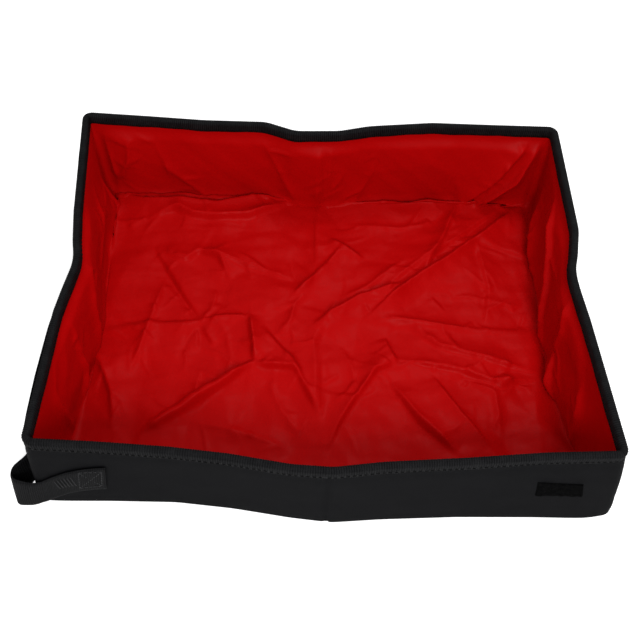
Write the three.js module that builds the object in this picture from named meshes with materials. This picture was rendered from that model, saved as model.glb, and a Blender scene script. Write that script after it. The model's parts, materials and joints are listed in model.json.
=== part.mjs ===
import * as THREE from 'three';

// A cloth litter tray that folds flat and then in half, standing open.
// Millimetres, +Z up, the front wall at -Y. Every panel is loose boards between a
// woven shell and a coated lining, so each crease of the cloth is a hinge.

// Overall sizes, outside the cloth at the corners
const trayWidth = 400;
const trayDepth = 300;
const rimHeight = 100;

// What folding has left in the walls, seen in plan
const frontCreaseBulge = 11;
const backCreaseDip = 7;
const leftCreasePull = 11;
const rightCreasePull = 6;
const kneeShare = 0.5;

// Layers of a panel, from outside to inside, and the air between them
const shellCloth = 0.6;
const boardThickness = 1.6;
const liningCloth = 0.6;
const layerGap = 0.3;
const gussetCloth = 1.2;

// Gaps between neighbours in the plane of the cloth
const creaseGap = 0.8;
const boardInset = 4;
const foldRoom = 9.6;

// Ribbed tape folded over the rim
const bindingCloth = 0.7;
const bindingDepth = 8;

// Closing strap and the patches that hold it
const strapWidth = 38;
const strapThickness = 1.6;
const strapSewnLength = 34;
const strapSewnRise = 9;
const strapFloorGap = 0.5;
const strapReachOut = 18;
const strapBendRadius = 5;
const strapBendSteps = 6;
const strapStandOff = 8;
const strapEndLength = 58;
const strapClimb = 26;
const hookThickness = 1.2;
const hookLength = 40;
const hookWidth = 32;
const patchThickness = 1.2;
const patchLength = 30;
const patchHeight = 21;
const patchFromCorner = 20;
const patchBottom = 37;

// Loose folds of the lining, as shares of half the tray's width and depth
const liningFoldLift = 2.8;
const liningFoldSpread = 9;
const liningRidgeLift = 2;
const liningFlatShare = 0.33;
const liningFadeShare = 0.1;
const liningWallFadeShares = [0.82, 0.93];
const liningFoldShares = [
  { from: [0.4, 0.78], to: [-0.06, -0.05] },
  { from: [-0.26, 0.02], to: [-0.24, -0.3] },
  { from: [-0.24, -0.3], to: [-0.4, -0.6] },
  { from: [0.28, -0.25], to: [0.4, -0.56] },
];
const wallFoldShares = [
  { at: 0.24, lean: 0.12 },
  { at: 0.12, lean: -0.08 },
];
const liningColumns = 16;
const liningRows = 12;

// Worked out from the sizes above
const halfWidth = trayWidth / 2;
const halfDepth = trayDepth / 2;
const panelThickness = shellCloth + boardThickness + liningCloth + 2 * layerGap;
const bindingProud = layerGap + bindingCloth;
const clothTop = rimHeight - bindingCloth - layerGap;
const kneeX = halfWidth * kneeShare;
const boardFrom = shellCloth + layerGap;
const liningFrom = boardFrom + boardThickness + layerGap;
const creaseHalf = creaseGap / 2;
const gussetStart = panelThickness + bindingProud + layerGap;
const diagonalStart = gussetStart + creaseGap;

const left = -1;
const right = 1;
const front = -1;
const back = 1;
const sideName = { [left]: 'left', [right]: 'right' };
const endName = { [front]: 'front', [back]: 'back' };
const creasePull = { [left]: leftCreasePull, [right]: rightCreasePull };
const creaseShift = { [front]: frontCreaseBulge, [back]: backCreaseDip };

const looks = {
  shell: { color: 0x1d1d20, roughness: 0.85, metalness: 0 },
  board: { color: 0x9a9184, roughness: 0.9, metalness: 0 },
  lining: { color: 0xa50b0b, roughness: 0.42, metalness: 0 },
  binding: { color: 0x202023, roughness: 0.8, metalness: 0 },
  strap: { color: 0x232326, roughness: 0.75, metalness: 0 },
  hook: { color: 0x121214, roughness: 0.7, metalness: 0 },
  loop: { color: 0x161618, roughness: 0.95, metalness: 0 },
};

const tray = new THREE.Group();

function addPiece(name, look, geometry) {
  const mesh = new THREE.Mesh(geometry, new THREE.MeshStandardMaterial(looks[look]));
  mesh.name = name;
  tray.add(mesh);
  return mesh;
}

// Solid between two heights over a plan outline
function prism(outline, bottom, top) {
  const shape = new THREE.Shape(outline.map(([x, y]) => new THREE.Vector2(x, y)));
  const geometry = new THREE.ExtrudeGeometry(shape, { depth: top - bottom, bevelEnabled: false });
  return geometry.translate(0, 0, bottom);
}

function signedVolume(positions, faces) {
  let volume = 0;
  const corners = [new THREE.Vector3(), new THREE.Vector3(), new THREE.Vector3()];
  for (let start = 0; start < faces.length; start += 3) {
    corners.forEach((corner, k) => corner.fromArray(positions, 3 * faces[start + k]));
    volume += corners[0].dot(corners[1].cross(corners[2]));
  }
  return volume;
}

function closedGeometry(points, faces) {
  const positions = points.flatMap((point) => point.toArray());
  const outward = signedVolume(positions, faces) > 0 ? faces : faces.slice().reverse();
  const geometry = new THREE.BufferGeometry();
  geometry.setAttribute('position', new THREE.Float32BufferAttribute(positions, 3));
  geometry.setIndex(outward);
  geometry.computeVertexNormals();
  return geometry;
}

// Solid skinned over one section carried through stations; place(station, across, up)
function loft(section, stations, place) {
  const contour = section.map(([across, up]) => new THREE.Vector2(across, up));
  if (THREE.ShapeUtils.isClockWise(contour)) contour.reverse();
  const points = stations.flatMap((station) => contour.map(({ x, y }) => place(station, x, y)));
  const count = contour.length;
  const faces = [];
  for (let ring = 0; ring + 1 < stations.length; ring += 1) {
    for (let k = 0; k < count; k += 1) {
      const here = ring * count + k;
      const beside = ring * count + (k + 1) % count;
      faces.push(here, beside, beside + count, here, beside + count, here + count);
    }
  }
  const last = (stations.length - 1) * count;
  for (const [a, b, c] of THREE.ShapeUtils.triangulateShape(contour, [])) {
    faces.push(a, c, b, last + a, last + b, last + c);
  }
  return closedGeometry(points, faces);
}

// Thin closed sheet over a grid; surface(u, v, face) gives the point on face 0 or 1
function sheet(columns, rows, surface) {
  const points = [];
  for (const face of [0, 1]) {
    for (let row = 0; row <= rows; row += 1) {
      for (let column = 0; column <= columns; column += 1) {
        points.push(surface(column / columns, row / rows, face));
      }
    }
  }
  const wide = columns + 1;
  const layer = wide * (rows + 1);
  const faces = [];
  for (let row = 0; row < rows; row += 1) {
    for (let column = 0; column < columns; column += 1) {
      const a = row * wide + column;
      const b = a + 1;
      const c = b + wide;
      const d = a + wide;
      faces.push(a, c, b, a, d, c, layer + a, layer + b, layer + c, layer + a, layer + c, layer + d);
    }
  }
  const rim = [];
  for (let column = 0; column < columns; column += 1) rim.push(column);
  for (let row = 0; row < rows; row += 1) rim.push(row * wide + columns);
  for (let column = columns; column > 0; column -= 1) rim.push(rows * wide + column);
  for (let row = rows; row > 0; row -= 1) rim.push(row * wide);
  rim.forEach((here, k) => {
    const next = rim[(k + 1) % rim.length];
    faces.push(here, next, layer + next, here, layer + next, layer + here);
  });
  return closedGeometry(points, faces);
}

const mix = (from, to, share) => from + (to - from) * share;

// Plan lines: how far the front or back wall stands towards the front at x
function shiftAt(x, end) {
  return creaseShift[end] * Math.max(0, 1 - Math.abs(x) / kneeX);
}

function wallY(x, end, inset) {
  return end * (halfDepth - inset) - shiftAt(x, end);
}

function sideX(y, side, inset) {
  const pull = creasePull[side] * Math.max(0, 1 - Math.abs(y) / halfDepth);
  return side * (halfWidth - pull - inset);
}

// Height that the loose lining stands off its board
function fadeBeyondFlat(x) {
  const past = (Math.abs(x) / halfWidth - liningFlatShare) / liningFadeShare;
  return 1 - THREE.MathUtils.smoothstep(past, 0, 1);
}

function liftOfFold(x, y, fold) {
  const a = new THREE.Vector2(fold.from[0] * halfWidth, fold.from[1] * halfDepth);
  const b = new THREE.Vector2(fold.to[0] * halfWidth, fold.to[1] * halfDepth);
  const along = b.clone().sub(a);
  const toPoint = new THREE.Vector2(x, y).sub(a);
  const share = THREE.MathUtils.clamp(toPoint.dot(along) / along.lengthSq(), 0, 1);
  const distance = toPoint.sub(along.multiplyScalar(share)).length();
  return liningFoldLift * Math.exp(-((distance / liningFoldSpread) ** 2));
}

function baseLift(x, y) {
  const ridge = liningRidgeLift * Math.exp(-((y / liningFoldSpread) ** 2));
  const folds = liningFoldShares.map((fold) => liftOfFold(x, y, fold));
  const nearWall = THREE.MathUtils.smoothstep(Math.abs(y) / halfDepth, ...liningWallFadeShares);
  return fadeBeyondFlat(x) * (1 - nearWall) * Math.max(ridge, ...folds);
}

// It lies flat at the base and where the tape holds it under the rim
function wallLift(x, up) {
  const heightShare = Math.min(1, up / (rimHeight - bindingDepth - layerGap));
  const lifts = wallFoldShares.map(({ at, lean }) => {
    const foldX = halfWidth * (at + lean * heightShare);
    return liningFoldLift * Math.exp(-(((Math.abs(x) - foldX) / liningFoldSpread) ** 2));
  });
  return fadeBeyondFlat(x) * Math.sin(Math.PI * heightShare) ** 2 * Math.max(...lifts);
}

// A quarter of the base. The cloth reaches the walls; the board stops at the fold lines.
function addBaseQuarter(side, end) {
  const name = `base_${endName[end]}_${sideName[side]}`;
  const edge = panelThickness + layerGap;
  const cloth = [
    [sideX(wallY(halfWidth, end, edge), side, edge), wallY(halfWidth, end, edge)],
    [sideX(creaseHalf, side, edge), end * creaseHalf],
    [side * creaseHalf, end * creaseHalf],
    [side * creaseHalf, wallY(creaseHalf, end, edge)],
    [side * kneeX, wallY(kneeX, end, edge)],
  ];
  const sideInset = panelThickness + boardInset;
  const boardEnd = end * (halfDepth - panelThickness - foldRoom);
  const board = [
    [sideX(boardEnd, side, sideInset), boardEnd],
    [sideX(boardInset, side, sideInset), end * boardInset],
    [side * boardInset, end * boardInset],
    [side * boardInset, boardEnd],
  ];
  addPiece(`${name}_shell`, 'shell', prism(cloth, 0, shellCloth));
  addPiece(`${name}_board`, 'board', prism(board, boardFrom, boardFrom + boardThickness));
  addPiece(`${name}_lining`, 'lining', sheet(liningColumns, liningRows, (u, v, face) => {
    const straightY = end * mix(creaseHalf, halfDepth - edge, v);
    const x = mix(side * creaseHalf, sideX(straightY, side, edge), u);
    const y = mix(end * creaseHalf, wallY(x, end, edge), v);
    return new THREE.Vector3(x, y, liningFrom + face * liningCloth + baseLift(x, y));
  }));
}

// Section of the tape that is folded over a rim of the given thickness
function bindingSection(thickness) {
  const outside = -bindingProud;
  const inside = thickness + bindingProud;
  const under = rimHeight - bindingDepth;
  return [
    [outside, under],
    [outside, rimHeight],
    [inside, rimHeight],
    [inside, under],
    [thickness + layerGap, under],
    [thickness + layerGap, clothTop + layerGap],
    [-layerGap, clothTop + layerGap],
    [-layerGap, under],
  ];
}

// Half of the front or back wall, from its corner to the middle crease
function addEndWall(side, end) {
  const name = `${endName[end]}_${sideName[side]}`;
  const stations = [halfWidth, kneeX, creaseHalf];
  const place = (x, across, up) => new THREE.Vector3(side * x, wallY(x, end, across), up);
  const layer = (from, to, bottom, top) => [[from, bottom], [from, top], [to, top], [to, bottom]];
  const boardStations = [halfWidth - boardInset, kneeX, boardInset];
  const shell = layer(0, shellCloth, 0, clothTop);
  const board = layer(boardFrom, boardFrom + boardThickness, boardInset, clothTop - layerGap);
  addPiece(`${name}_shell`, 'shell', loft(shell, stations, place));
  addPiece(`${name}_board`, 'board', loft(board, boardStations, place));
  addPiece(`${name}_lining`, 'lining', sheet(liningColumns, liningRows, (u, v, face) => {
    const x = u < 1 / 2 ? mix(creaseHalf, kneeX, 2 * u) : mix(kneeX, halfWidth, 2 * u - 1);
    const up = v * clothTop;
    const across = liningFrom + face * liningCloth + wallLift(x, up);
    return new THREE.Vector3(side * x, wallY(x, end, across), up);
  }));
  addPiece(`${name}_binding`, 'binding', loft(bindingSection(panelThickness), stations, place));
}

// Vertical plane of a side wall half: distance along it from the corner, across and up
function sideFrame(side, end) {
  const corner = new THREE.Vector3(side * halfWidth, end * halfDepth, 0);
  const middle = new THREE.Vector3(sideX(0, side, 0), 0, 0);
  const along = middle.clone().sub(corner).normalize();
  const inward = new THREE.Vector3(along.y, -along.x, 0).multiplyScalar(-side * Math.sign(along.y));
  const length = middle.distanceTo(corner);
  const place = (distance, across, up) => corner.clone()
    .addScaledVector(along, distance)
    .addScaledVector(inward, across)
    .setZ(up);
  return { length, place, leanIn: Math.atan(creasePull[side] / halfDepth) };
}

// Slab in a side wall's plane, over an outline of [distance, up] points
function sideSlab(frame, outline, from, to) {
  return loft(outline, [from, to], (across, distance, up) => frame.place(distance, across, up));
}

function addSideWall(side, end) {
  const frame = sideFrame(side, end);
  const wall = `${sideName[side]}_${endName[end]}`;
  const corner = `${endName[end]}_${sideName[side]}_gusset`;
  // The diagonal halves the corner once the tray is folded, whatever the creases pull in
  const rise = Math.tan(Math.PI / 4 - frame.leanIn / 2);
  const diagonalAt = (up) => diagonalStart + up / rise;
  const wallEnd = frame.length - creaseHalf;
  const boardTop = clothTop - layerGap;
  const cloth = (top) => [
    [diagonalAt(0), 0],
    [wallEnd, 0],
    [wallEnd, top],
    [diagonalAt(top), top],
  ];
  const board = [
    [diagonalAt(boardInset) + boardInset, boardInset],
    [frame.length - boardInset, boardInset],
    [frame.length - boardInset, boardTop],
    [diagonalAt(boardTop) + boardInset, boardTop],
  ];
  addPiece(`${wall}_shell`, 'shell', sideSlab(frame, cloth(clothTop), 0, shellCloth));
  addPiece(`${wall}_board`, 'board', sideSlab(frame, board, boardFrom, boardFrom + boardThickness));
  addPiece(`${wall}_lining`, 'lining', sideSlab(frame, cloth(clothTop), liningFrom, panelThickness));
  // The tapes meet along the diagonal, as the cloth does
  const tape = (startAt, endAt, thickness) => loft(bindingSection(thickness), [0, 1],
    (share, across, up) => frame.place(mix(startAt(up), endAt(up), share), across, up));
  addPiece(`${wall}_binding`, 'binding', tape(diagonalAt, () => wallEnd, panelThickness));

  const gusset = [
    [gussetStart, 0],
    [gussetStart, clothTop],
    [diagonalAt(clothTop) - creaseGap, clothTop],
  ];
  addPiece(corner, 'shell', sideSlab(frame, gusset, 0, gussetCloth));
  const gussetTape = tape(() => gussetStart, (up) => diagonalAt(up) - creaseGap, gussetCloth);
  addPiece(`${corner}_binding`, 'binding', gussetTape);
}

// Closing strap: sewn to the front wall at the left, out past the corner and back
function addStrap() {
  const wallFace = -halfDepth;
  const strapBack = wallFace - layerGap;
  const bottom = strapFloorGap;
  const cornerX = -halfWidth;
  const sewnEnd = cornerX + strapSewnLength;
  const sewn = [
    [cornerX + layerGap, bottom],
    [sewnEnd, bottom + strapSewnRise],
    [sewnEnd, bottom + strapSewnRise + strapWidth],
    [cornerX + layerGap, bottom + strapWidth],
  ];
  addPiece('strap_sewn_end', 'strap', loft(sewn, [strapBack, strapBack - strapThickness],
    (y, x, up) => new THREE.Vector3(x, y, up)));

  // Plan route of the middle of the strap from the corner to where it turns over the patch
  const route = new THREE.CurvePath();
  const middleY = strapBack - strapThickness / 2;
  const outX = cornerX - strapReachOut + strapThickness / 2;
  const runX = cornerX - strapStandOff;
  const wrapY = wrapPlane();
  const turnY = middleY + strapBendRadius;
  const bendStart = new THREE.Vector2(outX + strapBendRadius, middleY);
  const bendEnd = new THREE.Vector2(outX, turnY);
  const runStart = new THREE.Vector2(runX, turnY + 2 * strapBendRadius);
  const runEnd = new THREE.Vector2(runX, wrapY - layerGap);
  route.add(new THREE.LineCurve(new THREE.Vector2(cornerX, middleY), bendStart));
  route.add(new THREE.QuadraticBezierCurve(bendStart, new THREE.Vector2(outX, middleY), bendEnd));
  route.add(new THREE.CubicBezierCurve(bendEnd,
    new THREE.Vector2(outX, turnY + strapBendRadius),
    new THREE.Vector2(runX, turnY + strapBendRadius),
    runStart));
  route.add(new THREE.LineCurve(runStart, runEnd));
  const stations = route.curves.flatMap((curve) => {
    const steps = curve instanceof THREE.LineCurve ? 1 : strapBendSteps;
    return Array.from({ length: steps }, (_, k) => ({
      at: curve.getPoint(k / steps),
      along: curve.getTangent(k / steps),
    }));
  });
  stations.push({ at: runEnd, along: new THREE.Vector2(0, 1) });
  // The loose webbing climbs steadily once it points back, to meet the patch when closed
  const endFrom = wrapY + layerGap;
  const endTo = endFrom + strapEndLength;
  const climbAt = (y) => strapClimb * Math.max(0, (y - turnY) / (endTo - turnY));
  const band = (margin) => [
    [-strapThickness / 2, bottom + margin],
    [strapThickness / 2, bottom + margin],
    [strapThickness / 2, bottom + strapWidth - margin],
    [-strapThickness / 2, bottom + strapWidth - margin],
  ];
  addPiece('strap_tail', 'strap', loft(band(0), stations, ({ at, along }, across, up) => (
    new THREE.Vector3(at.x + along.y * across, at.y - along.x * across, up + climbAt(at.y)))));

  const straight = (offset, share) => (y, across, up) => (
    new THREE.Vector3(runX + offset + across * share, y, up + climbAt(y)));
  addPiece('strap_end', 'strap', loft(band(0), [endFrom, endTo], straight(0, 1)));

  const hookMargin = (strapWidth - hookWidth) / 2;
  const hookFar = endTo - hookMargin;
  const hookOffset = strapThickness / 2 + layerGap + hookThickness / 2;
  addPiece('hook_tape', 'hook', loft(band(hookMargin), [hookFar - hookLength, hookFar],
    straight(hookOffset, hookThickness / strapThickness)));
}

// Where the strap turns onto the patch: past both folded halves and the two tapes
function wrapPlane() {
  const creaseHeight = panelThickness + layerGap;
  const halfPack = 2 * (panelThickness + foldRoom + creaseHeight);
  const folded = 2 * (halfPack + bindingProud + layerGap);
  return -halfDepth + folded + patchThickness + hookThickness + 3 * layerGap;
}

function addLoopPatch() {
  const near = halfWidth - patchFromCorner;
  const far = near - patchLength;
  const face = -halfDepth - layerGap;
  const outline = [
    [far, face],
    [near, face],
    [near, face - patchThickness],
    [far, face - patchThickness],
  ];
  addPiece('loop_patch', 'loop', prism(outline, patchBottom, patchBottom + patchHeight));
}

for (const side of [left, right]) {
  for (const end of [front, back]) {
    addBaseQuarter(side, end);
    addEndWall(side, end);
    addSideWall(side, end);
  }
}
addStrap();
addLoopPatch();

// The origin is the middle of the footprint, on the surface that the tray stands on
const bounds = new THREE.Box3().setFromObject(tray);
const middle = bounds.getCenter(new THREE.Vector3());
tray.position.set(-middle.x, -middle.y, 0);

export default tray;
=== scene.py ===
import json
import math

import bpy
import numpy as np
from mathutils import Matrix, Vector
from mathutils.geometry import delaunay_2d_cdt


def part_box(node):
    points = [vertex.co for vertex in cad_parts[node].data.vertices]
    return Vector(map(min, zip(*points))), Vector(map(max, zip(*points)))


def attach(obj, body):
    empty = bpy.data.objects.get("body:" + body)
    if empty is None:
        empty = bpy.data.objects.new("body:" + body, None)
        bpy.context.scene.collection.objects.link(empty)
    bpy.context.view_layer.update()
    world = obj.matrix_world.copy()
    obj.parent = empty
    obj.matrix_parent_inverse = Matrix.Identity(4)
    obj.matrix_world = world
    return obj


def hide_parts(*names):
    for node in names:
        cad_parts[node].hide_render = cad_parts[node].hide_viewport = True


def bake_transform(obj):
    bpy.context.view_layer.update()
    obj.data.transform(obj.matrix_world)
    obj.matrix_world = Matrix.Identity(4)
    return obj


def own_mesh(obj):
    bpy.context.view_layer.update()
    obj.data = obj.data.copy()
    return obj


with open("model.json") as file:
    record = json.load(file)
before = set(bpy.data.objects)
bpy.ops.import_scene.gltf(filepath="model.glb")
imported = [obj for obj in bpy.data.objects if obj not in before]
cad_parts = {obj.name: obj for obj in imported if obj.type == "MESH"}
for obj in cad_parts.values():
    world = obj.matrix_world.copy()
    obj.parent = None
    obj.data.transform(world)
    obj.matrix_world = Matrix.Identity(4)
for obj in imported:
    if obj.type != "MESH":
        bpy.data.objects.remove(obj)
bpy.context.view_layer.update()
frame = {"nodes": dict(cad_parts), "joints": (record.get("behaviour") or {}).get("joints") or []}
print("frame loaded:", len(frame["nodes"]), "nodes")

# Ends and sides of the tray, as the frame names them
ends = {"front": -1, "back": 1}
sides = {"left": -1, "right": 1}


def readTray():
    shellLow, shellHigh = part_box("front_left_shell")
    baseLow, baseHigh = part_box("base_front_left_shell")
    boardLow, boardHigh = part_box("base_front_left_board")
    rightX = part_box("front_right_shell")[1].x
    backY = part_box("back_left_shell")[1].y
    cloth = baseHigh.z - baseLow.z
    gap = boardLow.z - baseHigh.z
    frontY = shellHigh.y - cloth
    foldJoint = next(j for j in frame["joints"] if j["name"] == "base_fold")
    centreY = (frontY + backY) / 2
    return {
        "centre": Vector(((shellLow.x + rightX) / 2, centreY, 0)),
        "halfWidth": (rightX - shellLow.x) / 2,
        "halfDepth": (backY - frontY) / 2,
        "clothTop": shellHigh.z,
        "rimTop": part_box("front_left_binding")[1].z,
        "cloth": cloth,
        "gap": gap,
        "boardFrom": boardLow.z,
        "boardTo": boardHigh.z,
        "panel": boardHigh.z + gap + cloth,
        "foldLine": foldJoint["pos_m"][1] - centreY,
    }


tray = readTray()

# The photograph's camera, fitted to the rim and the foot of the tray, in the tray's own frame
view = {
    "picturePixels": 640,
    "focalPixels": 852.6,
    "elevation": 57.46,
    "azimuth": -2.27,
    "roll": 3.29,
    "target": (-0.0017, -0.0147, 0.0495),
    "distance": 0.6722,
    "sensor": 36.0,
}


def cameraAxes():
    azimuth, elevation, roll = (math.radians(view[k]) for k in ("azimuth", "elevation", "roll"))
    flat = math.cos(elevation)
    back = Vector((math.sin(azimuth) * flat, -math.cos(azimuth) * flat, math.sin(elevation)))
    right = Vector((0, 0, 1)).cross(back).normalized()
    up = back.cross(right)
    tiltedRight = right * math.cos(roll) + up * math.sin(roll)
    tiltedUp = up * math.cos(roll) - right * math.sin(roll)
    return tiltedRight, tiltedUp, back, Vector(view["target"]) + back * view["distance"]


def makeCamera():
    right, up, back, place = cameraAxes()
    data = bpy.data.cameras.new("camera")
    data.sensor_width = view["sensor"]
    data.lens = view["focalPixels"] / view["picturePixels"] * view["sensor"]
    camera = bpy.data.objects.new("camera", data)
    turned = Matrix((right, up, back)).transposed().to_4x4()
    camera.matrix_world = Matrix.Translation(place + tray["centre"]) @ turned
    bpy.context.scene.collection.objects.link(camera)
    bpy.context.scene.camera = camera


def throughPixel(pixelX, pixelY, axis, value):
    # where the sight line of a pixel meets the plane axis = value, in the tray's frame
    right, up, back, place = cameraAxes()
    middle = view["picturePixels"] / 2
    ray = -back + (right * (pixelX - middle) - up * (pixelY - middle)) / view["focalPixels"]
    return place + ray * ((value - place[axis]) / ray[axis])


makeCamera()

# How far each soft wall stands outside the straight rectangle: place along it, at its foot, at its rim
outline = {
    "front": [(-0.200, 0.000, -0.0032), (-0.150, -0.001, -0.0015), (-0.105, -0.001, 0.001),
              (-0.065, 0.003, 0.005), (-0.024, 0.0095, 0.0115), (0.004, 0.0125, 0.0130),
              (0.038, 0.0095, 0.0085), (0.092, 0.0065, 0.0045), (0.146, 0.0055, -0.0005),
              (0.200, 0.0055, -0.003)],
    "back": [(-0.200, 0.000, 0.0055), (-0.150, -0.001, 0.003), (-0.099, -0.001, 0.000),
             (-0.047, -0.003, 0.000), (-0.034, -0.005, -0.005), (-0.022, -0.007, -0.0095),
             (-0.005, -0.008, -0.009), (0.016, -0.006, -0.008), (0.029, -0.004, -0.0045),
             (0.041, -0.002, -0.0015), (0.094, 0.003, 0.0045), (0.147, 0.003, 0.004),
             (0.200, 0.000, 0.004)],
    "left": [(-0.150, 0.0085, -0.0030), (-0.128, 0.004, -0.0022), (-0.100, -0.002, -0.0025),
             (-0.060, -0.006, -0.0045), (-0.029, -0.009, -0.0090), (-0.006, -0.011, -0.0130),
             (0.004, -0.011, -0.0125), (0.015, -0.010, -0.010), (0.044, -0.007, -0.006),
             (0.100, -0.003, 0.000), (0.150, 0.000, 0.0035)],
    "right": [(-0.150, 0.0185, 0.003), (-0.128, 0.0125, 0.0005), (-0.090, 0.003, -0.0030),
              (-0.045, -0.003, -0.0062), (-0.016, -0.005, -0.0098), (-0.006, -0.006, -0.0105),
              (0.004, -0.006, -0.010), (0.014, -0.005, -0.007), (0.040, -0.003, -0.002),
              (0.100, -0.002, -0.003), (0.150, 0.000, -0.0035)],
}
cornerLift = {"front_right": 0.0095, "front_left": 0.002, "back_left": 0.002, "back_right": 0.003}
softness = {
    "bulge": 1.35,       # above 1 the wall keeps its foot's outline higher up
    "bend": 0.004,       # metres over which each bend of the outline is rounded
    "samples": 7,
    "liftReach": 0.0115, # how far from its corner a lift fades
    "liftHeight": 0.035,
}


def wallOffset(wall, along, up):
    table = np.array(outline[wall])
    total = np.zeros_like(along)
    shifts = np.linspace(-1, 1, softness["samples"]) * softness["bend"]
    share = np.clip(up / tray["rimTop"], 0, 1) ** softness["bulge"]
    for shift in shifts:
        foot, rim = (np.interp(along + shift, table[:, 0], table[:, k]) for k in (1, 2))
        total += foot * (1 - share) + rim * share
    return total / len(shifts)


def softBox(points, hold):
    # moves points of the straight box onto the photographed outline; hold is 0 where the base keeps them
    x, y, z = points[..., 0], points[..., 1], points[..., 2]
    acrossX = np.clip((x / tray["halfWidth"] + 1) / 2, 0, 1)
    acrossY = np.clip((y / tray["halfDepth"] + 1) / 2, 0, 1)
    left, right = wallOffset("left", y, z), wallOffset("right", y, z)
    front, back = wallOffset("front", x, z), wallOffset("back", x, z)
    moved = points.copy()
    moved[..., 0] += hold * (acrossX * right - (1 - acrossX) * left)
    moved[..., 1] += hold * (acrossY * back - (1 - acrossY) * front)
    for corner, lift in cornerLift.items():
        end, side = corner.split("_")
        away = np.hypot(x - sides[side] * tray["halfWidth"], y - ends[end] * tray["halfDepth"])
        fading = np.clip(1 - z / softness["liftHeight"], 0, 1)
        moved[..., 2] += lift * np.exp(-(away / softness["liftReach"]) ** 2) * fading
    return moved


def smooth(value, low, high):
    share = np.clip((value - low) / (high - low), 0, 1)
    return share * share * (3 - 2 * share)


def runAlong(line):
    # distance along a line of points, at each of them
    return np.concatenate([[0], np.cumsum(np.linalg.norm(np.diff(line, axis=0), axis=1))])


# Cloth bag: one base grid and four wall grids that share their edges
bagCut = {
    "baseHalfWidth": 0.182,   # the walls' grids start here, so that the base stays square
    "cornerColumns": (0.0, 0.0018, 0.0036),
    "diagonalStart": 0.0055,
    "creaseHalf": 0.0055,     # strip over the crease from side to side
    "backCreaseHalf": 0.0055, # strip over the crease in the back wall
    "creaseCells": 2,         # cells of the grid on each side of a crease's line
    "edgeStrip": 0.0115,      # strip of the base that bends at its fold line
    "rimTurn": (0.030, 0.010), # between these depths below the top the corners take the rim's radius
}


def bagRows(inset, floor, foldRadius, flatRows, bendRows, wallRows, top):
    # rows of a wall: share of the way back to the base grid, and height
    skirt = tray["halfDepth"] - inset - tray["foldLine"]
    bend = min(1.0, foldRadius / skirt)
    rows = [(1 - (1 - bend) * k / max(1, flatRows), floor) for k in range(flatRows)]
    for k in range(bendRows + 1):
        angle = math.pi / 2 * k / bendRows
        rows.append((bend * (1 - math.sin(angle)), floor + foldRadius * (1 - math.cos(angle))))
    first = len(rows) - 1
    low = rows[-1][1]
    for k in range(1, wallRows + 1):
        rows.append((0.0, low + (top - low) * k / wallRows))
    return np.array(rows), first


def roundEnd(place, half, radius):
    # place along a wall, turned round half of the corner: along, and how far it draws in
    beyond = np.clip((np.abs(place) - (half - radius)) / max(radius, 1e-9), 0, 1)
    angle = beyond * math.pi / 4
    along = np.where(beyond > 0, half - radius + radius * np.sin(angle), np.abs(place))
    return np.sign(place) * along, radius * (1 - np.cos(angle))


def mirrored(distances, half):
    # distances from a corner, up to the middle, as shares of the half length from -1 to 1
    low = -1 + np.array(distances) / half
    return np.concatenate([low, [0.0], -low[::-1]])


def evenly(low, high, step):
    count = max(1, round((high - low) / step))
    return [low + (high - low) * k / count for k in range(count)]


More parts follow.
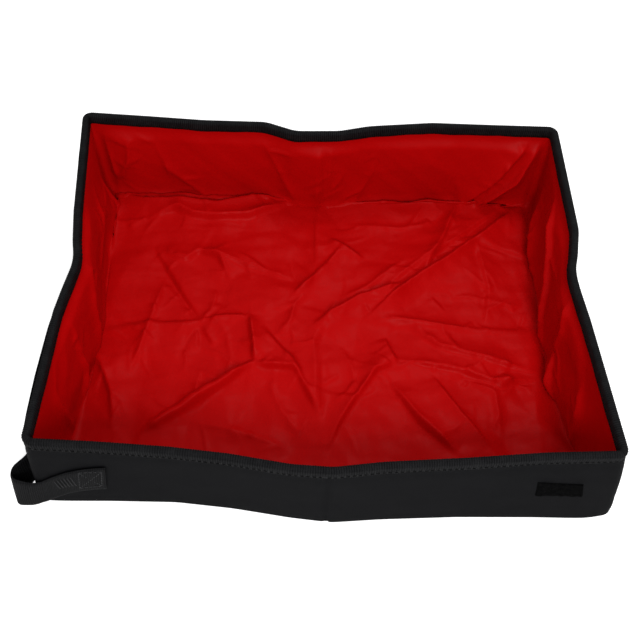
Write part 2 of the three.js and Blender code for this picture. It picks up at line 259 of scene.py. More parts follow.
def makeBag(inset, floor, foldRadius, cornerRadius, rimRadius, spacing, flatRows, bendRows, wallRows, top):
    rows, first = bagRows(inset, floor, foldRadius, flatRows, bendRows, wallRows, top)
    halfX = tray["halfWidth"] - inset
    halfY = tray["halfDepth"] - inset
    skirtX = halfX - bagCut["baseHalfWidth"]
    skirtY = halfY - tray["foldLine"]
    corner = list(bagCut["cornerColumns"])
    diagonal = [bagCut["diagonalStart"] + rows[j][1] - rows[first][1] for j in range(first, len(rows))]
    creaseFrom = halfY - bagCut["creaseHalf"]
    inner = evenly(diagonal[-1], creaseFrom, spacing)[1:] + [creaseFrom, halfY - bagCut["creaseHalf"] / 2]
    sigmaY = mirrored(corner + diagonal + inner, halfY)
    backFrom = halfX - bagCut["backCreaseHalf"]
    wide = corner + evenly(bagCut["diagonalStart"], backFrom, spacing)
    sigmaX = mirrored(wide + [backFrom, halfX - bagCut["backCreaseHalf"] / 2], halfX)
    # the grid line of the base nearest to where its edge strip starts
    nearest = np.argmin(np.abs(sigmaY - 1 + bagCut["edgeStrip"] / tray["foldLine"]))
    edgeColumn = int(min(nearest, len(sigmaY) - 1 - nearest))

    points, count = [], 0

    def take(block):
        nonlocal count
        flat = block.reshape(-1, 3)
        points.append(flat)
        ids = np.arange(count, count + len(flat)).reshape(block.shape[:2])
        count += len(flat)
        return ids

    baseX, baseY = np.meshgrid(sigmaX * (halfX - skirtX), sigmaY * (halfY - skirtY))
    base = np.stack([baseX, baseY, np.full_like(baseX, floor)], -1)
    ids = {"base": take(base)}
    hold = [np.zeros(base.shape[:2]).ravel()]
    grids = {"base": base}
    for wall in ("front", "back", "left", "right"):
        isEnd = wall in ends
        sigma = sigmaX if isEnd else sigmaY
        block = np.zeros((len(rows), len(sigma), 3))
        for j, (share, up) in enumerate(rows):
            reachX, reachY = halfX - skirtX * share, halfY - skirtY * share
            turned = smooth(np.array(up), *(tray["clothTop"] - depth for depth in bagCut["rimTurn"]))
            radius = (cornerRadius + (rimRadius - cornerRadius) * float(turned)) * (1 - share)
            reach = reachX if isEnd else reachY
            along, drawn = roundEnd(sigma * reach, reach, radius)
            if isEnd:
                block[j, :, 0], block[j, :, 1] = along, ends[wall] * (reachY - drawn)
            else:
                block[j, :, 1], block[j, :, 0] = along, sides[wall] * (reachX - drawn)
            block[j, :, 2] = up
        grids[wall] = block
        ids[wall] = take(block)
        hold.append(np.repeat(1 - rows[:, 0], len(sigma)))
    # shared edges take the same numbers
    ids["front"][0], ids["back"][0] = ids["base"][0], ids["base"][-1]
    ids["left"][0], ids["right"][0] = ids["base"][:, 0], ids["base"][:, -1]
    ids["left"][:, 0], ids["left"][:, -1] = ids["front"][:, 0], ids["back"][:, 0]
    ids["right"][:, 0], ids["right"][:, -1] = ids["front"][:, -1], ids["back"][:, -1]
    points = np.concatenate(points)
    return {
        "points": points, "hold": np.concatenate(hold), "ids": ids, "grids": grids, "rows": rows,
        "first": first, "sigmaX": sigmaX, "sigmaY": sigmaY, "edgeColumn": edgeColumn,
    }


def patternOf(bag):
    # flat pattern of each grid in metres, which carries the weave
    run = runAlong(bag["grids"]["front"][:, len(bag["sigmaX"]) // 2])
    patterns = {"base": bag["grids"]["base"][..., :2]}
    for wall, sign in {**ends, **sides}.items():
        isEnd = wall in ends
        sigma = bag["sigmaX"] if isEnd else bag["sigmaY"]
        start = tray["foldLine"] if isEnd else bagCut["baseHalfWidth"]
        along = np.tile(sigma * (tray["halfWidth"] if isEnd else tray["halfDepth"]), (len(run), 1))
        away = np.repeat(sign * (start + run)[:, None], len(sigma), 1)
        patterns[wall] = np.stack([along, away] if isEnd else [away, along], -1)
    return patterns


def halfName(names, negative):
    return [n for n, sign in names.items() if (sign < 0) == negative][0]


def bagFaces(bag, footRows):
    # every face with its corners' numbers, pattern places and the piece that it belongs to
    faces = []
    patterns = patternOf(bag)
    middleX, middleY = len(bag["sigmaX"]) // 2, len(bag["sigmaY"]) // 2
    cornerColumns = len(bagCut["cornerColumns"])
    edge, near = bag["edgeColumn"], bagCut["creaseCells"]

    def add(wall, cells, label):
        numbers = [int(bag["ids"][wall][c]) for c in cells]
        faces.append((numbers, [tuple(patterns[wall][c]) for c in cells], label))

    lastY = len(bag["sigmaY"]) - 1
    for iy in range(lastY):
        end = halfName(ends, iy < middleY)
        fromEdge = min(iy, lastY - 1 - iy)
        inCrease = middleY - near <= iy < middleY + near
        for ix in range(len(bag["sigmaX"]) - 1):
            side = halfName(sides, ix < middleX)
            kind = "edge" if fromEdge < edge else "base"
            label = f"crease_{side}" if inCrease else f"{kind}_{end}_{side}"
            add("base", [(iy, ix), (iy, ix + 1), (iy + 1, ix + 1), (iy + 1, ix)], label)
    for wall, sign in ends.items():
        for j in range(len(bag["rows"]) - 1):
            for ix in range(len(bag["sigmaX"]) - 1):
                side = halfName(sides, ix < middleX)
                inCrease = wall == "back" and middleX - near <= ix < middleX + near
                cells = [(j, ix), (j, ix + 1), (j + 1, ix + 1), (j + 1, ix)]
                label = "back_crease" if inCrease else f"{wall}_{side}"
                add(wall, cells if sign > 0 else cells[::-1], label)
    for wall, sign in sides.items():
        for j in range(len(bag["rows"]) - 1):
            for iy in range(lastY):
                end = halfName(ends, iy < middleY)
                fromCorner = min(iy, lastY - 1 - iy)
                diagonal = cornerColumns + j - bag["first"]
                low = iy < middleY
                cells = [(j, iy), (j, iy + 1), (j + 1, iy + 1), (j + 1, iy)]
                cells = cells if sign < 0 else cells[::-1]
                onWall = f"foot_{wall}_{end}" if j < footRows else f"{wall}_{end}"
                if j < bag["first"]:
                    add(wall, cells, f"{end}_{wall}" if fromCorner < cornerColumns else onWall)
                elif fromCorner != diagonal:
                    add(wall, cells, f"{end}_{wall}" if fromCorner < diagonal else onWall)
                else:
                    cut = {(j, iy), (j + 1, iy + 1)} if low else {(j, iy + 1), (j + 1, iy)}
                    above = (j + 1, iy) if low else (j + 1, iy + 1)
                    add(wall, [c for c in cells if c in cut or c == above], f"{end}_{wall}")
                    add(wall, [c for c in cells if c in cut or c != above and c[0] == j], onWall)
    return faces


def vertexNormals(points, faces):
    normals = np.zeros_like(points)
    corners = np.array([f[0] if len(f[0]) == 4 else f[0] + f[0][-1:] for f in faces])
    p = points[corners]
    facing = np.cross(p[:, 2] - p[:, 0], p[:, 3] - p[:, 1])
    short = corners[:, 2] == corners[:, 3]
    facing[short] = np.cross(p[short, 1] - p[short, 0], p[short, 2] - p[short, 0])
    for k in range(4):
        np.add.at(normals, corners[:, k], facing)
    return normals / np.maximum(np.linalg.norm(normals, axis=1, keepdims=True), 1e-12)


# Mesh making

def newMesh(name, points, faces, materials, cornerUvs=None, normals=None, faceMaterials=None):
    mesh = bpy.data.meshes.new(name)
    mesh.from_pydata([tuple(p) for p in points], [], faces)
    mesh.polygons.foreach_set("use_smooth", [True] * len(faces))
    for material in materials:
        mesh.materials.append(material)
    if faceMaterials is not None:
        mesh.polygons.foreach_set("material_index", faceMaterials)
    if cornerUvs is not None:
        layer = mesh.uv_layers.new(name="pattern")
        layer.data.foreach_set("uv", np.array(cornerUvs, float).ravel())
    mesh.update()
    if normals is not None:
        mesh.normals_split_custom_set_from_vertices([tuple(n) for n in normals])
    piece = bpy.data.objects.new(name, mesh)
    bpy.context.scene.collection.objects.link(piece)
    return piece


def clothPiece(name, points, normals, faces, thickness, material):
    # a sheet with real thickness behind its face, closed round its edges
    used = sorted({n for numbers, _, _ in faces for n in numbers})
    local = {n: k for k, n in enumerate(used)}
    face = points[used]
    facing = normals[used]
    count = len(used)
    quads, uvs, sidesOf = [], [], {}
    for numbers, places, _ in faces:
        ring = [local[n] for n in numbers]
        quads.append(ring)
        uvs.extend(places)
        for k, a in enumerate(ring):
            b = ring[(k + 1) % len(ring)]
            if (b, a) in sidesOf:
                del sidesOf[(b, a)]
            else:
                sidesOf[(a, b)] = (places[k], places[(k + 1) % len(ring)])
    for numbers, places, _ in faces:
        quads.append([local[n] + count for n in numbers][::-1])
        uvs.extend(places[::-1])
    for (a, b), (placeA, placeB) in sidesOf.items():
        quads.append([b, a, a + count, b + count])
        uvs.extend([placeB, placeA, placeA, placeB])
    solid = np.concatenate([face, face - facing * thickness]) + np.array(tray["centre"])
    return newMesh(name, solid, quads, [material], uvs, np.concatenate([facing, -facing]))


# Loose folds of the lining. Each line has the side on which it drops steeply (1 left of its direction, -1
# right, 0 both alike), then points of the photograph with the fold's height in mm (below 0: pressed in).
linerFolds = {
    "cell": 0.001,
    "lowest": 0.0001,
    "seed": 5,
    "edgeHeight": 0.3,
    "facetSize": 0.040,
    "facetHeights": (1.0, 5.5),
    "facetEdge": 0.25,  # shares of a facet: the even rim, how far its corners stray, and their clear room
    "facetStray": 0.35,
    "facetClear": 0.6,
    "pressed": 3.2,
    "baseShare": 1.22,
    "wallShare": 1.45,
    "gussetShare": 0.16,
    "branchGap": 0.022,
    "branchStart": (0.2, 0.8),
    "branchLength": (0.008, 0.034),
    "branchHeight": (0.5, 1.9),
    "branchWidth": 0.5,
    "branchTurn": (0.35, 1.2),
    "branchBend": 0.4,
    "branchTip": 0.3,
    "branchProbe": 0.002,
    "facetBlur": 1.2,
    "foldShare": 0.9,
    "foldBlur": 0.5,
    "steep": 0.0011,
    "gentle": 0.009,
    "even": 0.003,
    "widths": 3,        # a fold is worked out to this many times its gentle side's width
    "step": 0.0008,
    "fewest": 6,
    "smoothing": 4,     # places on each side that smooth a fold's line
    "wander": 0.0005,
    "wanderLength": 0.011,
    "wanderFrom": 0.01,
    "wanderTurn": 900,
    "taper": 0.22,
    "tip": 0.12,
    "rimFade": (0.022, 0.010),    # the walls' folds fade between these depths below the cloth's top
    "endFade": 0.030,
    "gussetFade": (-0.03, 0.02),
    "footFade": (0.001, 0.016),
    "settle": 0.0004,
    "baseSight": 1500,  # a fold's height in mm over this: metres above the cloth where its sight line ends
    "wallSight": 2000,
    "base": [
        (1, [(98, 332, 2.0), (149, 327, 3.5), (185, 326, 3.5), (201, 324, 2.0), (227, 320, 4.5),
             (250, 318, 6.0)]),
        (-1, [(250, 318, 6.0), (252, 343, 6.5), (254, 364, 6.0)]),
        (1, [(254, 366, 6.5), (222, 390, 6.0), (181, 415, 5.5), (142, 435, 3.0)]),
        (-1, [(254, 363, 5.0), (215, 387, 4.5), (169, 416, 4.0), (139, 435, 2.0)]),
        (1, [(153, 249, -1.5), (167, 274, -3.5), (185, 302, -4.0), (201, 324, -3.0)]),
        (-1, [(160, 256, 3.0), (188, 264, 4.0), (199, 255, 5.0), (220, 262, 5.0), (231, 284, 3.0)]),
        (-1, [(204, 256, 4.0), (250, 270, 3.5), (295, 284, 2.5)]),
        (-1, [(254, 369, 6.0), (280, 371, 5.5), (295, 373, 5.5), (307, 394, 5.0), (321, 421, 3.0)]),
        (1, [(261, 330, 3.0), (291, 362, 4.5), (302, 382, 3.0)]),
        (0, [(275, 341, 2.5), (291, 325, 3.5), (295, 307, 3.5), (309, 295, 2.0)]),
        (1, [(293, 298, 5.0), (309, 285, 6.0), (330, 263, 4.0), (345, 248, 2.0)]),
        (-1, [(201, 328, 2.0), (208, 338, 3.0), (216, 350, 1.5)]),
        (0, [(201, 328, 2.0), (206, 318, 3.0), (222, 306, 1.5)]),
        (0, [(201, 328, -1.5), (190, 340, -2.0), (180, 362, -1.0)]),
        (-1, [(513, 213, 4.0), (475, 242, 5.5), (442, 265, 6.5), (414, 282, 6.5), (388, 303, 5.5),
              (362, 324, 3.5)]),
        (1, [(505, 208, 2.0), (468, 234, 3.0), (436, 256, 4.0), (408, 273, 4.0), (380, 294, 3.0)]),
        (1, [(456, 209, 4.0), (442, 242, 5.0), (423, 275, 5.5)]),
        (-1, [(404, 286, 6.0), (357, 301, 5.5), (329, 317, 5.5), (310, 331, 3.5)]),
        (0, [(404, 263, 3.0), (369, 289, 3.5), (338, 303, 2.5)]),
        (0, [(319, 206, 2.0), (317, 240, 3.5), (316, 280, 2.5)]),
        (1, [(330, 316, 2.0), (322, 330, 3.0), (316, 345, 3.5), (317, 395, 4.0), (322, 430, 3.0)]),
        (0, [(374, 324, 4.0), (395, 323, 4.5), (442, 330, 3.5), (480, 334, 3.0), (534, 335, 2.0)]),
        (-1, [(404, 327, 2.5), (437, 350, 4.5), (487, 364, 4.5), (536, 376, 3.0)]),
        (-1, [(395, 364, 4.5), (428, 369, 5.0), (463, 375, 4.5), (494, 385, 4.5), (536, 383, 3.0)]),
        (0, [(490, 384, 2.5), (500, 389, 3.5), (512, 383, 3.0)]),
        (0, [(498, 379, 2.5), (506, 383, 3.0), (514, 390, 1.5)]),
        (1, [(383, 341, 3.0), (390, 355, 4.0), (397, 367, 5.5)]),
        (1, [(397, 367, 6.0), (374, 374, 6.0), (355, 402, 6.0), (338, 428, 4.5), (324, 456, 2.5)]),
        (-1, [(390, 386, 5.0), (416, 424, 8.0), (456, 456, 6.5)]),
        (1, [(433, 381, 5.0), (456, 416, 7.0), (489, 449, 5.0)]),
        (0, [(461, 383, 2.5), (494, 395, 3.5), (499, 440, 2.5)]),
        (0, [(167, 277, 2.0), (158, 307, 3.0), (144, 343, 3.5), (130, 378, 3.0)]),
        (-1, [(91, 350, 1.5), (105, 375, 4.5), (112, 396, 4.0), (112, 430, 2.5)]),
        (1, [(119, 199, 4.0), (149, 206, 6.5), (181, 207, 6.5), (220, 210, 6.5), (240, 206, 6.0),
             (284, 201, 4.5)]),
        (-1, [(119, 190, -1.0), (158, 192, -2.5), (181, 198, -2.5), (238, 202, -2.0), (290, 205, -1.0)]),
        (-1, [(149, 222, 4.5), (178, 215, 7.0), (194, 222, 7.0), (220, 224, 7.0), (250, 222, 7.0),
              (279, 212, 5.5), (295, 203, 3.5)]),
        (0, [(128, 232, 2.0), (149, 222, 3.0)]),
        (-1, [(474, 245, 2.0), (487, 290, 2.5), (483, 330, 1.5)]),
        (-1, [(461, 199, 4.0), (475, 211, 5.0), (470, 205, 4.5), (518, 204, 2.0)]),
        (1, [(329, 242, 3.0), (345, 250, 4.0), (364, 263, 2.5)]),
        (1, [(319, 208, 3.0), (350, 207, 3.5), (381, 205, 4.0), (461, 200, 4.0)]),
        (0, [(340, 228, 1.5), (400, 232, 2.5), (436, 226, 2.0)]),
        (0, [(225, 330, 1.5), (232, 362, 2.0), (226, 380, 1.5)]),
        (0, [(420, 300, 1.5), (470, 300, 1.5), (520, 310, 1.0)]),
        (0, [(340, 350, 2.0), (352, 372, 2.5), (356, 398, 2.0)]),
        (0, [(268, 385, 2.0), (280, 410, 2.5), (300, 440, 2.0)]),
        (0, [(190, 425, 1.5), (230, 432, 2.5), (290, 452, 2.0)]),
    ],
    "back": [
        (1, [(322, 140, 2.5), (320, 170, 3.0), (318, 204, 3.0)]),
        (0, [(331, 141, 1.5), (330, 170, 2.0), (332, 204, 1.0)]),
        (-1, [(544, 139, 3.5), (515, 173, 6.0), (473, 201, 5.5)]),
        (1, [(532, 139, 2.5), (499, 171, 5.0), (461, 199, 4.5)]),
        (1, [(103, 130, 3.0), (112, 155, 5.0), (119, 178, 4.0)]),
        (0, [(128, 137, 2.0), (130, 155, 3.5), (121, 178, 2.5)]),
        (0, [(150, 134, 1.0), (170, 165, 2.0), (215, 198, 1.5)]),
        (0, [(260, 136, 1.0), (280, 165, 1.5), (297, 200, 2.0)]),
        (0, [(380, 140, 0.8), (372, 170, 1.2), (350, 203, 1.5)]),
    ],
    "left": [
        (-1, [(93, 146, 3.0), (105, 187, 6.0), (112, 215, 4.5), (110, 250, 1.5)]),
        (0, [(91, 170, 1.5), (98, 220, 2.5), (96, 280, 1.5)]),
        (0, [(82, 258, 2.0), (88, 300, 3.0), (94, 345, 3.5)]),
        (1, [(98, 341, 2.0), (108, 365, 3.0), (121, 387, 2.0)]),
        (-1, [(66, 320, 1.5), (80, 370, 3.0), (88, 425, 3.5)]),
        (0, [(50, 380, 1.5), (60, 410, 2.0), (72, 434, 1.5)]),
    ],
    "right": [
        (1, [(549, 150, 2.5), (541, 194, 4.0), (538, 265, 4.5), (538, 324, 4.5), (546, 364, 3.5)]),
        (-1, [(549, 150, 2.0), (555, 194, 3.5), (557, 251, 4.0), (553, 296, 4.0), (548, 336, 3.5),
              (546, 364, 3.0)]),
        (1, [(546, 371, 3.0), (530, 405, 5.5), (505, 450, 4.0)]),
        (-1, [(560, 350, 3.0), (558, 383, 5.0), (553, 445, 4.0)]),
        (0, [(571, 290, 1.5), (568, 330, 3.0), (560, 350, 3.0)]),
        (0, [(585, 380, 1.5), (583, 415, 3.0), (578, 448, 2.5)]),
    ],
    "front": [],
}


def facetSpots(width, height, lines, folds, draw):
    # corners of the flat facets: the crease lines' own places, and a loose grid between them
    spots, levels, edges = [], [], []
    for _, line in lines:
        for k, (x, y, h) in enumerate(line):
            if k:
                edges.append((len(spots) - 1, len(spots)))
            spots.append((x, y))
            levels.append(h if h > 0 else folds["pressed"] / 1000)
    onLines = spots[:]
    gap = folds["facetSize"]
    for x in np.linspace(0, width, round(width / gap) + 1):
        for y in np.linspace(0, height, round(height / gap) + 1):
            if min(x, y, width - x, height - y) < gap * folds["facetEdge"]:
                spots.append((x, y))
                levels.append(folds["edgeHeight"] / 1000)
                continue
            place = tuple(v + draw.uniform(-gap, gap) * folds["facetStray"] for v in (x, y))
            if all(math.dist(place, spot) > gap * folds["facetClear"] for spot in onLines):
                spots.append(place)
                levels.append(draw.uniform(*folds["facetHeights"]) / 1000)
    return spots, levels, edges


def fillFacets(heights, gridX, gridY, cell, spots, levels, edges):
    corners, _, triangles, origins, _, _ = delaunay_2d_cdt([Vector(s) for s in spots], edges, [], 0, 1e-6)
    heightAt = [np.mean([levels[o] for o in origin]) if origin else None for origin in origins]
    for k, value in enumerate(heightAt):
        if value is None:
            near = {n for t in triangles if k in t for n in t if heightAt[n] is not None}
            heightAt[k] = np.mean([heightAt[n] for n in near]) if near else 0.0
    for triangle in triangles:
        a, b, c = (corners[n] for n in triangle)
        whole = (b.x - a.x) * (c.y - a.y) - (c.x - a.x) * (b.y - a.y)
        if abs(whole) < 1e-12:
            continue
        left, right = (f(a.x, b.x, c.x) / cell for f in (min, max))
        low, high = (f(a.y, b.y, c.y) / cell for f in (min, max))
        window = np.s_[max(0, int(low)):int(high) + 2, max(0, int(left)):int(right) + 2]
        x, y = gridX[window], gridY[window]
        second = ((x - a.x) * (c.y - a.y) - (c.x - a.x) * (y - a.y)) / whole
        third = ((b.x - a.x) * (y - a.y) - (x - a.x) * (b.y - a.y)) / whole
        inside = (second > -1e-6) & (third > -1e-6) & (second + third < 1 + 1e-6)
        flat = (1 - second - third) * heightAt[triangle[0]] + second * heightAt[triangle[1]] + \
            third * heightAt[triangle[2]]
        heights[window][inside] = flat[inside]


def addFold(heights, gridX, gridY, line, steepSide, narrow, folds):
    # a sharp fold that wanders a little along its line and runs out at both ends
    path = np.array(line)
    run = runAlong(path[:, :2])
    places = np.linspace(0, run[-1], max(folds["fewest"], int(run[-1] / folds["step"])))
    x, y, h = (np.interp(places, run, path[:, k]) for k in range(3))
    wander = folds["wander"] * np.sin(places / folds["wanderLength"] + h[0] * folds["wanderTurn"]) \
        * np.minimum(1, places / folds["wanderFrom"])
    near = folds["smoothing"]
    even = np.ones(2 * near + 1) / (2 * near + 1)
    x, y = (np.convolve(np.pad(v, near, mode="edge"), even, "valid") for v in (x + wander, y))
    aheadX, aheadY = np.gradient(x), np.gradient(y)
    taper = np.minimum(1, np.minimum(places, run[-1] - places) / (run[-1] * folds["taper"]) + folds["tip"])
    sharp = h * folds["foldShare"] * taper
    reach, cell = folds["gentle"] * folds["widths"], folds["cell"]
    window = np.s_[max(0, int((y.min() - reach) / cell)):int((y.max() + reach) / cell) + 2,
                   max(0, int((x.min() - reach) / cell)):int((x.max() + reach) / cell) + 2]
    wx, wy = gridX[window], gridY[window]
    if wx.size == 0:
        return
    best = np.full(wx.shape, 1e9)
    pick = np.zeros(wx.shape, int)
    for k in range(len(x)):
        away = (wx - x[k]) ** 2 + (wy - y[k]) ** 2
        nearer = away < best
        best[nearer] = away[nearer]
        pick[nearer] = k
    turn = aheadX[pick] * (wy - y[pick]) - aheadY[pick] * (wx - x[pick])
    widthHere = np.where(np.sign(turn) == steepSide, folds["steep"], folds["gentle"])
    widthHere = narrow * (widthHere if steepSide else folds["even"])
    heights[window] += sharp[pick] * np.exp(-np.sqrt(best) / widthHere)


def film(width, height, lines, folds):
    # heights over a rectangle: flat facets between the crease lines, with a sharp fold along each line
    draw = np.random.default_rng(folds["seed"])
    cell = folds["cell"]
    gridX, gridY = np.meshgrid(*(np.linspace(0, v, round(v / cell) + 1) for v in (width, height)))
    heights = np.zeros_like(gridX)
    fillFacets(heights, gridX, gridY, cell, *facetSpots(width, height, lines, folds, draw))
    heights = blurred(heights, folds["facetBlur"])
    for narrow, steepSide, line in [(1.0, *row) for row in lines] + branches(lines, folds, draw):
        addFold(heights, gridX, gridY, line, steepSide, narrow, folds)
    return blurred(heights, folds["foldBlur"])


def branches(lines, folds, draw):
    # short weak folds that run off the drawn ones
    made = []
    for _, line in lines:
        path = np.array(line)
        run = runAlong(path[:, :2])
        first = draw.uniform(*folds["branchStart"]) * folds["branchGap"]
        for place in np.arange(first, run[-1], folds["branchGap"]):
            x, y = (np.interp(place, run, path[:, k]) for k in range(2))
            probe = [place - folds["branchProbe"], place + folds["branchProbe"]]
            nearX, nearY = (np.interp(probe, run, path[:, k]) for k in range(2))
            angle = math.atan2(nearY[1] - nearY[0], nearX[1] - nearX[0])
            angle += draw.choice([-1, 1]) * draw.uniform(*folds["branchTurn"]) + draw.choice([0, math.pi])
            length = draw.uniform(*folds["branchLength"])
            height = draw.uniform(*folds["branchHeight"]) / 1000
            bend = angle + draw.uniform(-folds["branchBend"], folds["branchBend"])
            middle = (x + math.cos(angle) * length / 2, y + math.sin(angle) * length / 2)
            tip = (middle[0] + math.cos(bend) * length / 2, middle[1] + math.sin(bend) * length / 2)
            made.append((folds["branchWidth"], int(draw.choice([-1, 0, 1])),
                         [(x, y, height), (*middle, height), (*tip, height * folds["branchTip"])]))
    return made


def blurred(heights, cells):
    reach = np.arange(-int(cells * 3 + 1), int(cells * 3 + 1) + 1)
    kernel = np.exp(-(reach / cells) ** 2 / 2)
    kernel /= kernel.sum()

    def soften(line):
        return np.convolve(np.pad(line, len(reach) // 2, mode="edge"), kernel, "valid")

    for axis in (0, 1):
        heights = np.apply_along_axis(soften, axis, heights)
    return heights


def sampled(heights, shareX, shareY):
    rowsUp, columns = heights.shape
    x = np.clip(shareX, 0, 1) * (columns - 1)
    y = np.clip(shareY, 0, 1) * (rowsUp - 1)
    x0, y0 = np.minimum(x.astype(int), columns - 2), np.minimum(y.astype(int), rowsUp - 2)
    tx, ty = x - x0, y - y0
    low = heights[y0, x0] * (1 - tx) + heights[y0, x0 + 1] * tx
    high = heights[y0 + 1, x0] * (1 - tx) + heights[y0 + 1, x0 + 1] * tx
    return low * (1 - ty) + high * ty


crinkle = {"height": 0.0046, "waves": 11, "shortest": 0.013, "longest": 0.05, "bend": 0.004, "bendTurn": 6,
           "seed": 7, "wallShare": 0.45, "gussetShare": 0.1, "footFade": (0.008, 0.020),
           "rimFade": (0.078, 0.088)}


def crinkled(u, v):
    # fine flat facets: folded straight waves in several directions
    draw = np.random.default_rng(crinkle["seed"])
    total = np.zeros_like(u)
    for _ in range(crinkle["waves"]):
        angle, phase = draw.uniform(0, math.pi), draw.uniform(0, 1)
        length = draw.uniform(crinkle["shortest"], crinkle["longest"])
        across = (u * math.sin(angle) - v * math.cos(angle)) / length
        swing = crinkle["bend"] * np.sin(across + phase * crinkle["bendTurn"])
        place = (u * math.cos(angle) + v * math.sin(angle) + swing) / length + phase
        total += np.abs(place % 1 - 0.5) * length
    return total / total.max() * crinkle["height"]


# Steps that close in on a soft wall, and how much of the last and the new place each one takes
wallSearch = {"rounds": 24, "last": 0.7, "new": 0.3}


def onWallFace(wall, pixelX, pixelY, lift):
    # where the sight line of a pixel meets the lining of a soft wall
    isEnd = wall in ends
    axis, sign = (1, ends[wall]) if isEnd else (0, sides[wall])
    half = tray["halfDepth"] if isEnd else tray["halfWidth"]
    value = sign * (half - tray["panel"] - lift)
    for _ in range(wallSearch["rounds"]):
        spot = throughPixel(pixelX, pixelY, axis, value)
        along = np.array(spot.x if isEnd else spot.y)
        offset = float(wallOffset(wall, along, np.clip(spot.z, 0, tray["rimTop"])))
        value = wallSearch["last"] * value \
            + wallSearch["new"] * sign * (half + offset - tray["panel"] - lift)
    return spot


looseFoot = {"height": 0.0042, "reach": 0.0085, "waves": 7, "shortest": 0.018, "longest": 0.06, "seed": 12,
             "most": 1.4, "cutHeight": 0.0075, "cutReach": 0.011, "cutX": (-0.055, -0.015),
             "cutY": (0.05, 0.12)}


def looseWave(x, y):
    # how far the lining cuts the corner between base and wall, changing round the tray
    draw = np.random.default_rng(looseFoot["seed"])
    total = np.zeros_like(x)
    for _ in range(looseFoot["waves"]):
        angle, phase = draw.uniform(0, math.pi), draw.uniform(0, 2 * math.pi)
        length = draw.uniform(looseFoot["shortest"], looseFoot["longest"])
        total += np.sin(2 * math.pi * (x * math.cos(angle) + y * math.sin(angle)) / length + phase)
    return np.clip(0.5 + 0.5 * total / math.sqrt(looseFoot["waves"]), 0, looseFoot["most"])


def linerLift(bag, points):
    # how far the loose lining stands off the boards, from the folds of the base and of each wall
    folds, top = linerFolds, tray["clothTop"]
    floor = bag["rows"][0][1]
    width, depth = 2 * tray["halfWidth"], 2 * tray["halfDepth"]
    lines = []
    for steepSide, line in folds["base"]:
        places = [throughPixel(x, y, 2, floor + max(h, 0) / folds["baseSight"]) for x, y, h in line]
        lines.append((steepSide, [(p.x + width / 2, p.y + depth / 2, h / 1000)
                                  for p, (_, _, h) in zip(places, line)]))
    x, y, z = points.T
    lift = sampled(film(width, depth, lines, folds), x / width + 0.5, y / depth + 0.5) * folds["baseShare"]
    for wall in ("front", "back", "left", "right"):
        isEnd = wall in ends
        half = tray["halfWidth"] if isEnd else tray["halfDepth"]
        lines = []
        for steepSide, line in folds[wall]:
            places = [onWallFace(wall, px, py, h / folds["wallSight"]) for px, py, h in line]
            lines.append((steepSide, [((p.x if isEnd else p.y) + half, min(max(p.z, 0), top), h / 1000)
                                      for p, (_, _, h) in zip(places, line)]))
        numbers = np.unique(bag["ids"][wall])
        along = points[numbers, 0 if isEnd else 1]
        up = points[numbers, 2]
        onWall = sampled(film(2 * half, top, lines, folds), along / (2 * half) + 0.5, up / top)
        onWall *= folds["wallShare"] * (1 - smooth(up, *(top - below for below in folds["rimFade"])))
        onWall *= smooth(half - np.abs(along), 0.0, folds["endFade"])
        if not isEnd:
            fromDiagonal = smooth(half - np.abs(along) - up, *folds["gussetFade"])
            onWall *= folds["gussetShare"] + (1 - folds["gussetShare"]) * fromDiagonal
        share = smooth(up, *(floor + above for above in folds["footFade"]))
        lift[numbers] = lift[numbers] * (1 - share) + onWall * share
    inX = width / 2 - tray["panel"] - np.abs(x)
    inY = depth / 2 - tray["panel"] - np.abs(y)
    fromFoot = np.maximum(0, np.minimum(inX, inY)) + np.maximum(0, z - floor)
    lift += looseFoot["height"] * looseWave(x, y) * np.exp(-fromFoot / looseFoot["reach"])
    cut = (1 - smooth(x, *looseFoot["cutX"])) * smooth(y, *looseFoot["cutY"])
    lift += looseFoot["cutHeight"] * cut * np.exp(-(fromFoot / looseFoot["cutReach"]) ** 2)
    # eases every place that would sink into a board back onto it
    return folds["lowest"] + np.logaddexp(0, (lift - folds["lowest"]) / folds["settle"]) * folds["settle"]


# Materials

def shaded(name):
    # a new material with its shader joined to the output
    material = bpy.data.materials.new(name)
    material.use_nodes = True
    tree = material.node_tree
    tree.nodes.clear()
    output = tree.nodes.new("ShaderNodeOutputMaterial")
    shader = tree.nodes.new("ShaderNodeBsdfPrincipled")
    wire(tree, shader.outputs[0], output.inputs[0])
    return tree, shader, material


def wire(tree, source, target):
    tree.links.new(source, target)


def sums(tree, operation, first, second=None, third=None, clamp=False):
    node = tree.nodes.new("ShaderNodeMath")
    node.operation = operation
    node.use_clamp = clamp
    for socket, value in zip(node.inputs, (first, second, third)):
        if value is None:
            continue
        if isinstance(value, (int, float)):
            socket.default_value = value
        else:
            wire(tree, value, socket)
    return node.outputs[0]


def newGroup(name, inputs, outputs):
    tree = bpy.data.node_groups.new(name, "ShaderNodeTree")
    for label, value in inputs.items():
        kind = "NodeSocketVector" if value is None else "NodeSocketFloat"
        socket = tree.interface.new_socket(name=label, in_out="INPUT", socket_type=kind)
        if value is not None:
            socket.default_value = value
    for label in outputs:
        tree.interface.new_socket(name=label, in_out="OUTPUT", socket_type="NodeSocketFloat")
    return tree, tree.nodes.new("NodeGroupInput").outputs, tree.nodes.new("NodeGroupOutput").inputs


def useGroup(tree, group, values):
    node = tree.nodes.new("ShaderNodeGroup")
    node.node_tree = group
    for label, value in values.items():
        if isinstance(value, (int, float)):
            node.inputs[label].default_value = value
        else:
            wire(tree, value, node.inputs[label])
    return node.outputs


